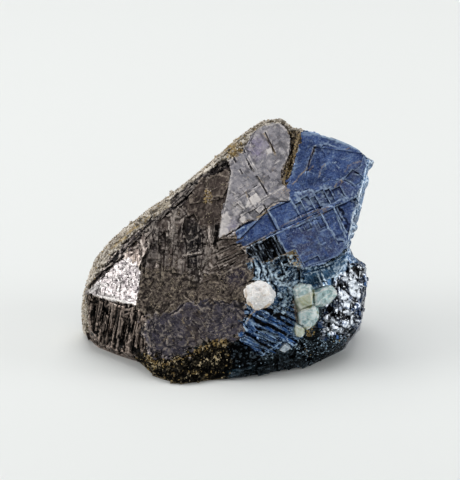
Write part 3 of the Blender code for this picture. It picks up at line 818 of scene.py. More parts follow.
@dataclass(frozen=True)
class GalenaFinish:
    """How one crystal or crust of the stone looks."""
    name: str
    dark: Colour
    middle: Colour
    light: Colour
    edge: Colour
    fleck: Colour
    stain: Colour
    streak_size: tuple[float, float, float] = (0.5, 2.0, 0.5)
    streak_contrast: float = 0.35
    mottle_scale: float = 0.5
    grain: float = 0.4
    grain_scale: float = 1.1
    fleck_scale: float = 2.2
    fleck_share: float = 0.3
    # How strongly ridges get painted highlights.
    wear: float = 0.8
    # How strongly grooves and hollows get painted shade.
    depth: float = 0.8
    metallic: float = 0.85
    roughness: float = 0.38
    specular: float = 0.5
    lines: float = 0.0
    line_scale: float = 0.35
    bump_scale: float = 2.5
    bump: float = 0.5

    def material(self) -> bpy.types.Material:
        """Builds the material.

        The colour runs from dark to middle with the streaks and on to light with fine mottling. It
        is then shifted by what the mesh stores: tone, stain and gold marks, painted shade in grooves,
        hollows and dark marks, and painted highlights on ridges and pale marks.

        Returns:
            The material.
        """
        made, sketch, shader = new_material(self.name)
        spot = sketch.attribute("lattice", vector=True)
        ridge, pale, gold, tone = (sketch.attribute(name) for name in ("ridge", "pale", "gold", "tone"))
        streaks = STREAKS.use(sketch, lattice=spot, size=self.streak_size, contrast=self.streak_contrast)
        mottle = sketch.between(sketch.noise(spot, self.mottle_scale, 5.0, 0.65), 0.35, 0.68)
        colour = sketch.mix(mottle, sketch.mix(streaks, self.dark, self.middle), self.light)
        colour = sketch.mix(sketch.attribute("stain"), colour, self.stain)
        grain = sketch.noise(sketch.stretched(spot, self.streak_size, "DIVIDE"), self.grain_scale, 2.0, 0.7)
        colour = sketch.mix(sketch.between(grain, 0.5, 0.66, 0.0, self.grain), colour, self.edge)
        colour = sketch.mix(sketch.between(grain, 0.5, 0.36, 0.0, 1.6 * self.grain), colour, self.dark)
        colour = sketch.mix(sketch.between(tone, 0.0, 1.0, 0.0, 0.75), colour, self.light)
        colour = sketch.mix(sketch.between(tone, 0.0, -1.0, 0.0, 0.75), colour, self.dark)
        flecks = FLECKS.use(sketch, lattice=spot, scale=self.fleck_scale, share=self.fleck_share)
        colour = sketch.mix(flecks, colour, self.fleck)
        lines = HAIRLINES.use(sketch, lattice=spot, scale=self.line_scale)
        colour = sketch.mix(sketch.math("MULTIPLY", lines, self.lines), colour, self.edge)
        # Painted shade: grooves, hollows and dark marks are darkened towards black.
        cut = sketch.math("MULTIPLY", sketch.attribute("groove"), 0.6)
        groove = sketch.math("MAXIMUM", cut, sketch.between(ridge, -0.1, -1.2))
        shadow = sketch.math("MAXIMUM", sketch.attribute("dark"), sketch.math("MULTIPLY", groove, self.depth))
        colour = sketch.mix(shadow, colour, tuple(0.15 * c for c in self.dark))
        # Painted highlights: ridges and pale marks are lightened to the edge colour.
        worn_and_highlit = RIDGE_HIGHLIGHT.use(sketch, lattice=spot, ridge=ridge, amount=self.wear)
        colour = sketch.mix(pale, sketch.mix(worn_and_highlit, colour, self.edge), self.edge)
        colour = sketch.mix(gold, colour, sketch.mix(mottle, *tints("604a2c cdb278")))
        dull = sketch.math("MAXIMUM", sketch.math("MAXIMUM", gold, flecks), pale)
        sketch.feed(shader, {
            "Base Color": colour,
            "Metallic": sketch.between(dull, 0.0, 1.0, self.metallic, 0.1),
            "Roughness": sketch.between(mottle, 0.0, 1.0, self.roughness - 0.08, self.roughness + 0.12),
            "Specular IOR Level": self.specular,
            "Normal": GRAIN_BUMP.use(
                sketch, lattice=spot, streaks=streaks, scale=self.bump_scale, strength=self.bump),
        })
        return made


# The six colours are dark, middle, light, edge, fleck and stain.
# The tints of the front's faces are painted reflections: brown, slate, grey, blue and teal stand for the
# coloured light that each facet mirrors, on one lead-grey metal.
FINISHES = {
    Zone.BROWN: GalenaFinish(
        "brown_faced_galena", *tints("262020 544944 746761 cec2b8 d4c4a8 12142a"), (1.1, 2.8, 1.0),
        streak_contrast=0.4, fleck_scale=3.0, fleck_share=0.31, grain=0.4, wear=0.6, lines=0.7,
        line_scale=0.3),
    Zone.PLAIN: GalenaFinish(
        "smooth_brown_galena", *tints("342c29 504540 60544f aa9c8e ccbe9c 282634"), (0.9, 2.0, 0.6),
        fleck_share=0.28, grain=0.28, lines=0.6, line_scale=0.22),
    Zone.FLECKED: GalenaFinish(
        "flecked_brown_galena", *tints("241f1f 4e443f 645953 b4a694 c4b292 36354e"), (0.8, 0.9, 0.8),
        streak_contrast=0.4, fleck_scale=3.0, fleck_share=0.32, grain=0.4, wear=0.6, lines=0.6,
        line_scale=0.4),
    Zone.SLATE: GalenaFinish(
        "slate_faced_galena", *tints("24222a 4a4652 645f6c b4a89c c8b89c 50443d"), (1.6, 1.3, 1.0),
        streak_contrast=0.4, mottle_scale=0.3, fleck_scale=3.0, fleck_share=0.3, grain=0.3, wear=0.6,
        lines=0.7, line_scale=0.34),
    # Near white: a painted highlight, where the facet mirrors the light from the left.
    Zone.BRIGHT: GalenaFinish(
        "bright_cleavage_galena", *tints("544c50 a89ea0 f0e7e4 fffaf6 3c3434 fff0e8"), (1.5, 1.2, 0.9),
        streak_contrast=0.14, mottle_scale=0.4, roughness=0.34, fleck_share=0.28, metallic=0.6, grain=0.5),
    Zone.RIBBED: GalenaFinish(
        "ribbed_dark_galena", *tints("050404 221d1a 443a34 b2a094 b8a492 1e1a18"), (0.5, 4.0, 0.5),
        streak_contrast=0.2, fleck_share=0.28, depth=1.0),
    Zone.EDGE: GalenaFinish(
        "striated_edge_galena", *tints("0a090e 2e292a 504848 b0a69e beac8c 1c1e36"), (3.0, 0.4, 0.5),
        streak_contrast=0.18, fleck_share=0.28, depth=1.0),
    Zone.GREY: GalenaFinish(
        "light_grey_galena", *tints("7a7a83 9a99a1 bab5ba eee7e2 c4aa8c a49ab6"), (0.8, 1.0, 0.6),
        streak_contrast=0.5, fleck_share=0.29, metallic=0.75, bump=0.35, grain=0.25, lines=0.5,
        line_scale=0.28),
    Zone.GROOVE: GalenaFinish(
        "brown_seam_galena", *tints("0e0d0f 342d28 5c4f42 c4b296 bea474 282838"), (0.3, 3.5, 0.4),
        streak_contrast=0.2, metallic=0.5, specular=0.3),
    Zone.BLUE: GalenaFinish(
        "blue_faced_galena", *tints("28376a 445c98 647fb6 aac0d8 9ca8c0 54546c"), (0.7, 0.7, 0.5),
        streak_contrast=0.3, fleck_share=0.29, bump=0.4, grain=0.3, grain_scale=1.3, wear=0.6, lines=0.35,
        line_scale=0.22),
    # Lighter than the blue face: painted highlight along the crystal's rim.
    Zone.ICE: GalenaFinish(
        "pale_edge_galena", *tints("082040 204c7e 5486ba e0eefa cee0f2 285470"), (2.4, 0.4, 0.6),
        streak_contrast=0.2, metallic=0.8, roughness=0.5, specular=0.1, fleck_share=0.31, depth=0.3,
        grain=0.6),
    Zone.LAMELLAE: GalenaFinish(
        "ledge_galena", *tints("221d1c 564b45 72655d beb2a8 cec0ac 544e62"), (3.0, 0.5, 0.6),
        streak_contrast=0.25, fleck_share=0.29),
    # Near black: painted shade in the pit.
    Zone.PIT: GalenaFinish(
        "deep_pit_galena", *tints("020306 090d19 243250 c8daec c8d4e4 141e32"), (0.4, 2.0, 0.5),
        streak_contrast=0.25, fleck_share=0.3, depth=1.0, grain=0.2, wear=0.4),
    Zone.TEAL: GalenaFinish(
        "teal_faced_galena", *tints("020a18 14365c 386692 d2e8f7 d0e4f2 3c3c50"), (1.6, 0.6, 0.6),
        streak_contrast=0.14, fleck_share=0.34, depth=1.0, grain=0.55),
    Zone.STRIATED: GalenaFinish(
        "striated_blue_galena", *tints("02040a 122e5c 3c6eb2 bedcf6 c4dcf4 103040"), (3.0, 0.5, 0.5),
        streak_contrast=0.12, fleck_share=0.35, depth=1.0, grain=0.35, wear=0.7),
    # Near black with bright edges: painted shade in the gaps between the fresh faces, and painted highlights
    # where they catch the light.
    Zone.SPARKLE: GalenaFinish(
        "fresh_broken_galena", *tints("02040a 0a162a 2e4e7a f0f7ff ecf2fc 243a56"), (2.6, 1.2, 1.2),
        streak_contrast=0.1, mottle_scale=0.25, roughness=0.3, depth=1.0, grain=0.3, grain_scale=0.7,
        fleck_share=0.25, wear=0.5),
    Zone.BAND: GalenaFinish(
        "smooth_teal_galena", *tints("12263a 244666 3e668a cee0ee 96b4c8 14283c"), (0.3, 4.0, 0.5),
        streak_contrast=0.3, fleck_share=0.27, grain=0.2, bump=0.3),
    # Near black: painted shade where the foot turns under.
    Zone.FOOT: GalenaFinish(
        "dark_fine_galena", *tints("010202 050707 0d1315 b0cade 96acba 0c3242"), (1.0, 0.8, 0.8),
        fleck_share=0.32, roughness=0.45, wear=0.16, depth=1.0, grain=0.10, specular=0.2),
    # Near black: painted shade on the crust of the toe, which also has its own iron stain.
    Zone.CRUST: GalenaFinish(
        "shaded_iron_stained_crust", *tints("020202 090806 1a1711 d6c4a0 928260 103c4e"), (0.9, 0.9, 0.9),
        metallic=0.25, roughness=0.6, fleck_share=0.22, depth=1.0, grain=0.10, wear=0.3, specular=0.08),
    Zone.RIND: GalenaFinish(
        "weathered_cream_rind", *tints("4a4237 867b6a baae9b ece4d8 bea06c 646054"), (0.8, 0.8, 0.8),
        metallic=0.1, roughness=0.7, fleck_share=0.29, mottle_scale=0.9, specular=0.3),
    Zone.BACK: GalenaFinish(
        "lead_grey_galena", *tints("32333a 5c5e68 848690 c4c6ce beb4a0 605044"), (2.4, 6.0, 2.0),
        streak_contrast=0.5, mottle_scale=0.2, fleck_share=0.28, grain=0.2, wear=0.6),
}


@dataclass(frozen=True)
class Relief:
    """The fine relief of one zone: heights in millimetres, sizes along u, v and n."""
    terrace: float = 0.08
    terrace_size: tuple[float, float, float] = (2.4, 1.7, 1.4)
    rib: float = 0.1
    rib_size: tuple[float, float, float] = (0.9, 5.0, 0.9)
    rib_share: float = 0.45
    grain: float = 0.05
    grain_size: float = 0.6
    crack: float = 0.0
    crack_size: float = 3.0
    bend: float = 0.0

    def height(self, local: Array, seed: int) -> tuple[Array, Array]:
        """Works out the relief at points of a crystal.

        The height is terraces (tiles of random height), less grooves (where stretched noise is
        high) and a broken net of cracks, plus fine fractal grain.

        Args:
            local: the points in u, v and n.
            seed: another seed gives another surface.

        Returns:
            The height, and how deep in a groove each point lies, from 0 to 1.
        """
        sway = np.stack([value_noise(local / 1.4, seed + way) for way in range(20, 23)], axis=1) - 0.5
        steps = blocks((local + self.bend * sway) / np.array(self.terrace_size), seed) - 0.5
        lines = fractal(local / np.array(self.rib_size), seed + 5, 2)
        groove = smooth_step(lines, 1 - self.rib_share, 1.12 - self.rib_share)
        grain = fractal(local / self.grain_size, seed + 9, 3) - 0.5
        height = self.terrace * steps - self.rib * groove + 2 * self.grain * grain
        if self.crack:
            bent = (local + 2.4 * (fractal(local / 2.5, seed + 12, 2) - 0.5)[:, None]) / self.crack_size
            net = cracks(bent, seed + 13) * smooth_step(fractal(local / 4.0, seed + 18, 2), 0.40, 0.56)
            height -= self.crack * net
            groove = np.maximum(groove, net)
        return height, groove


# The height and size of the terraces, the height, size and share of the ribs, the height and size of
# the grain, the depth and size of the cracks, and the bend of the terraces.
RELIEFS = {
    Zone.BROWN: Relief(0.10, (4.2, 6.0, 2.0), 0.16, (1.3, 4.6, 1.0), 0.36, 0.09, 0.6, 0.25, 3.4),
    Zone.PLAIN: Relief(0.06, (3.4, 2.6, 1.5), 0.08, (0.8, 4.0, 0.8), 0.36, 0.05, 0.6, 0.12, 4.5),
    Zone.FLECKED: Relief(0.06, (3.6, 3.0, 2.0), 0.14, (0.9, 1.1, 0.8), 0.40, 0.11, 0.55, 0.2, 2.4),
    Zone.SLATE: Relief(0.07, (5.4, 4.6, 2.0), 0.05, (1.2, 1.0, 0.8), 0.36, 0.06, 0.8, 0.2, 2.8),
    Zone.BRIGHT: Relief(0.16, (2.4, 1.8, 1.2), 0.08, (1.4, 1.2, 1.0), 0.42, 0.05, 0.6, 0.15, 2.6, 1.6),
    Zone.RIBBED: Relief(0.10, (1.1, 4.5, 1.0), 0.65, (0.75, 8.0, 0.8), 0.50, 0.10, 0.6),
    Zone.GREY: Relief(0.05, (2.3, 1.9, 1.4), 0.02, (2.4, 0.6, 0.9), 0.40, 0.02, 0.5, 0.08, 6.0),
    Zone.BLUE: Relief(0.05, (3.2, 2.4, 1.3), 0.03, (4.0, 0.6, 0.9), 0.38, 0.02, 0.45),
    Zone.STRIATED: Relief(0.12, (3.0, 0.9, 0.9), 0.46, (5.0, 0.75, 0.8), 0.52, 0.08, 0.5),
    Zone.SPARKLE: Relief(0.45, (3.6, 2.6, 2.0), 0.16, (2.4, 1.0, 1.0), 0.42, 0.05, 0.7, 0.3, 2.6, 3.2),
    Zone.BAND: Relief(0.04, (3.0, 6.0, 2.0), 0.10, (0.5, 7.0, 0.8), 0.44, 0.02, 0.5),
    Zone.FOOT: Relief(0.25, (2.0, 1.4, 1.2), 0.12, (1.6, 0.8, 0.8), 0.42, 0.14, 0.6, 0.2, 2.4, 2.0),
    Zone.CRUST: Relief(0.0, (1.0, 1.0, 1.0), 0.15, (0.9, 0.9, 0.9), 0.44, 0.28, 0.8, 0.3, 2.0),
    Zone.RIND: Relief(0.0, (1.0, 1.0, 1.0), 0.05, (0.8, 0.8, 0.8), 0.40, 0.14, 0.7, 0.15, 2.4),
    Zone.EDGE: Relief(0.08, (4.0, 1.0, 1.0), 0.46, (6.0, 0.60, 0.7), 0.48, 0.12, 0.6),
    Zone.ICE: Relief(0.10, (1.2, 1.2, 1.2), 0.08, (0.9, 0.7, 0.8), 0.42, 0.06, 0.5),
    Zone.GROOVE: Relief(0.05, (0.8, 3.0, 1.0), 0.40, (0.45, 6.0, 0.6), 0.46, 0.10, 0.5),
    Zone.LAMELLAE: Relief(0.10, (4.0, 0.9, 1.0), 0.34, (6.0, 0.60, 0.8), 0.44, 0.06, 0.6),
    Zone.PIT: Relief(0.25, (0.7, 2.4, 1.2), 0.40, (0.6, 4.0, 0.8), 0.50, 0.12, 0.5),
    Zone.TEAL: Relief(0.14, (2.0, 0.9, 1.0), 0.24, (2.2, 0.7, 0.7), 0.44, 0.10, 0.5, 0.2, 2.2),
    Zone.BACK: Relief(0.30, (13.0, 9.0, 5.0), 0.12, (2.6, 14.0, 2.4), 0.36, 0.08, 2.4, 0.25, 9.0),
}
# The zones whose borders blend into their neighbours.
SOFT_BORDERS = (
    Zone.PLAIN, Zone.FLECKED, Zone.SLATE, Zone.LAMELLAE, Zone.SPARKLE, Zone.TEAL, Zone.RIBBED, Zone.CRUST)


@dataclass(frozen=True)
class Stroke:
    """A crack, a scratch or a step on the front, drawn in pixels of the photograph; pale strokes are mostly
    painted highlights along edges, and dark ones mostly painted shade in gaps and under steps.

    The width is about the breadth of the line on the stone, and half of it on a grain.
    """
    mark: Mark
    width: float
    strength: float
    line: Pixels


@dataclass(frozen=True)
class Patch:
    """An area of the front, in pixels of the photograph; a share of it is painted."""
    mark: Mark
    strength: float
    share: float
    outline: Pixels


def read_table(table: str) -> list[tuple[str, list[float], Pixels]]:
    """Reads shapes that are drawn in pixels of the photograph.

    Args:
        table: for each shape a word, its numbers and its corners as column,row. A line that starts
            with # is a heading.

    Returns:
        The word, the numbers and the corners of each shape, in order.
    """
    shapes = []
    lines = [line for line in table.splitlines() if not line.startswith("#")]
    for token in " ".join(lines).split():
        if token.isalpha():
            shapes.append((token, [], []))
        elif "," in token:
            shapes[-1][2].append(tuple(float(part) for part in token.split(",")))
        else:
            shapes[-1][1].append(float(token))
    return shapes


def strokes(table: str) -> tuple[Stroke, ...]:
    """Reads strokes from a table: a mark, the width, the strength and the line of each."""
    return tuple(Stroke(Mark(word), *numbers, line) for word, numbers, line in read_table(table))


def patches(table: str) -> tuple[Patch, ...]:
    """Reads patches from a table: a mark, the strength, the painted share and the outline of each."""
    return tuple(Patch(Mark(word), *numbers, outline) for word, numbers, outline in read_table(table))


# The outline of each zone on the front; a later one lies over an earlier one.
ZONE_OUTLINES = tuple((Zone[word.upper()], outline) for word, _, outline in read_table("""
brown 60,100 300,100 300,340 60,340
plain 192,190 200,178 215,173 232,166 232,190 224,222 212,226 200,224 190,216 182,206
flecked 139,266 150,268 160,262 172,270 184,274 196,284 206,276 222,274 246,262 262,262 262,300 246,306
  232,304 198,302 182,306 172,315 142,320 136,308
foot 226,340 243,341 258,353 266,354 277,347 292,348 300,336 320,336 345,338 352,326 380,300 380,400
  226,400
striated 246,304 262,306 276,296 290,296 296,322 300,336 290,350 277,349 262,356 248,349 240,341 241,325
teal 249,257 262,262 287,254 296,250 303,268 325,263 345,250 354,256 352,266 343,272 338,282 332,290
  318,300 296,300 292,312 280,312 272,300 260,288 254,280 250,268
sparkle 332,282 340,274 347,266 354,256 384,262 384,330 352,332 346,340 333,338 322,334 318,322 324,312
  326,300
ribbed 70,300 90,296 110,301 135,306 143,314 145,335 147,352 143,362 120,370 70,350
slate 142,320 150,313 158,314 172,313 182,304 198,300 214,303 232,302 246,303 244,322 240,334 232,340
  225,340 215,338 205,343 194,350 185,355 172,358 160,361 150,357 145,346
crust 140,352 150,357 160,361 172,358 186,355 194,350 205,343 215,338 225,340 234,339 231,352 229,400
  130,400
edge 92,286 100,274 108,262 118,250 128,239 140,227 150,218 160,212 168,206 172,196 180,187 190,180
  202,172 214,165 222,159 227,161 230,168 215,174 200,178 193,190 184,204 172,211 160,218 150,226 142,233
  132,246 121,259 108,271 95,285
bright 86,292 95,283 107,273 121,261 128,257 133,261 139,267 140.5,275 139.5,290 137,299 135,305 123,303
  108,299.5 95,296
rind 60,330 60,250 130,190 240,110 262,100 300,100 303,131 289,132 287,129 283,124.5 272,123 264,126
  256,130 251,136 247,143 243,150 236,155 228,160 223,161 214.5,167 202,174.5 190.5,182.5 183,189 175,197.5
  169.5,206.5 161,213.5 151,219.5 141,228 128,238 118,249 110,256 103,267 96,275 90,284 86,292 88,304
  88,332 84,342
grey 218,238 220,225 222,212 226,198 229,182 230.5,172 229,163 228,160 236,155 243,150 247,143 251,135
  256,130 264,126 272,123 280,123.5 285,127 289,133 290.5,140 291,148 289,156 284,165 281,172 281,180
  285,186 290,192 290,200 280,202 271,206 263,212 257,219 247,220 240,225 235,231 232,235 224,236
groove 288,131 301,131 303,136 299,147 296,156 293,167 290,177 287,186 282,183 283,175 286,165 290,156
  291,148 290,138
blue 301,131 312,130 323,133 340,138.5 355,145 366,151 370,158 367,168 365,178 362,190 358,203 354,217
  352,230 350,240 345,251 336,256 325,263 313,267 303,269 297,256 294,250 286,254 276,236 260,240 247,246
  240,247 237,240 235,232 241,226 250,221 258,219 264,213 271,206.5 280,202.5 290,200 289,191 287,186
  290,177 293,167 296,156 299,147 302,137
ice 303,131 300,100 400,120 400,230 360,262 345,262 345,250 349,240 350,228 352,216 356,203 359,190
  363,176 366,165 367,160 362,152.5 355,146.5 340,140 323,134.5 312,131
lamellae 214,248 219,239 228,236 234,234 238,243 243,246 246,249 246,258 236,263 226,266 220,274 210,277
  205,268 207,258
pit 246,248 260,241 276,235 287,254 274,259 262,263 255,259 246,257
band 305,278 311,268 325,265 345,257 350,262 347,268 336,279 332,286 320,289 312,287
"""))
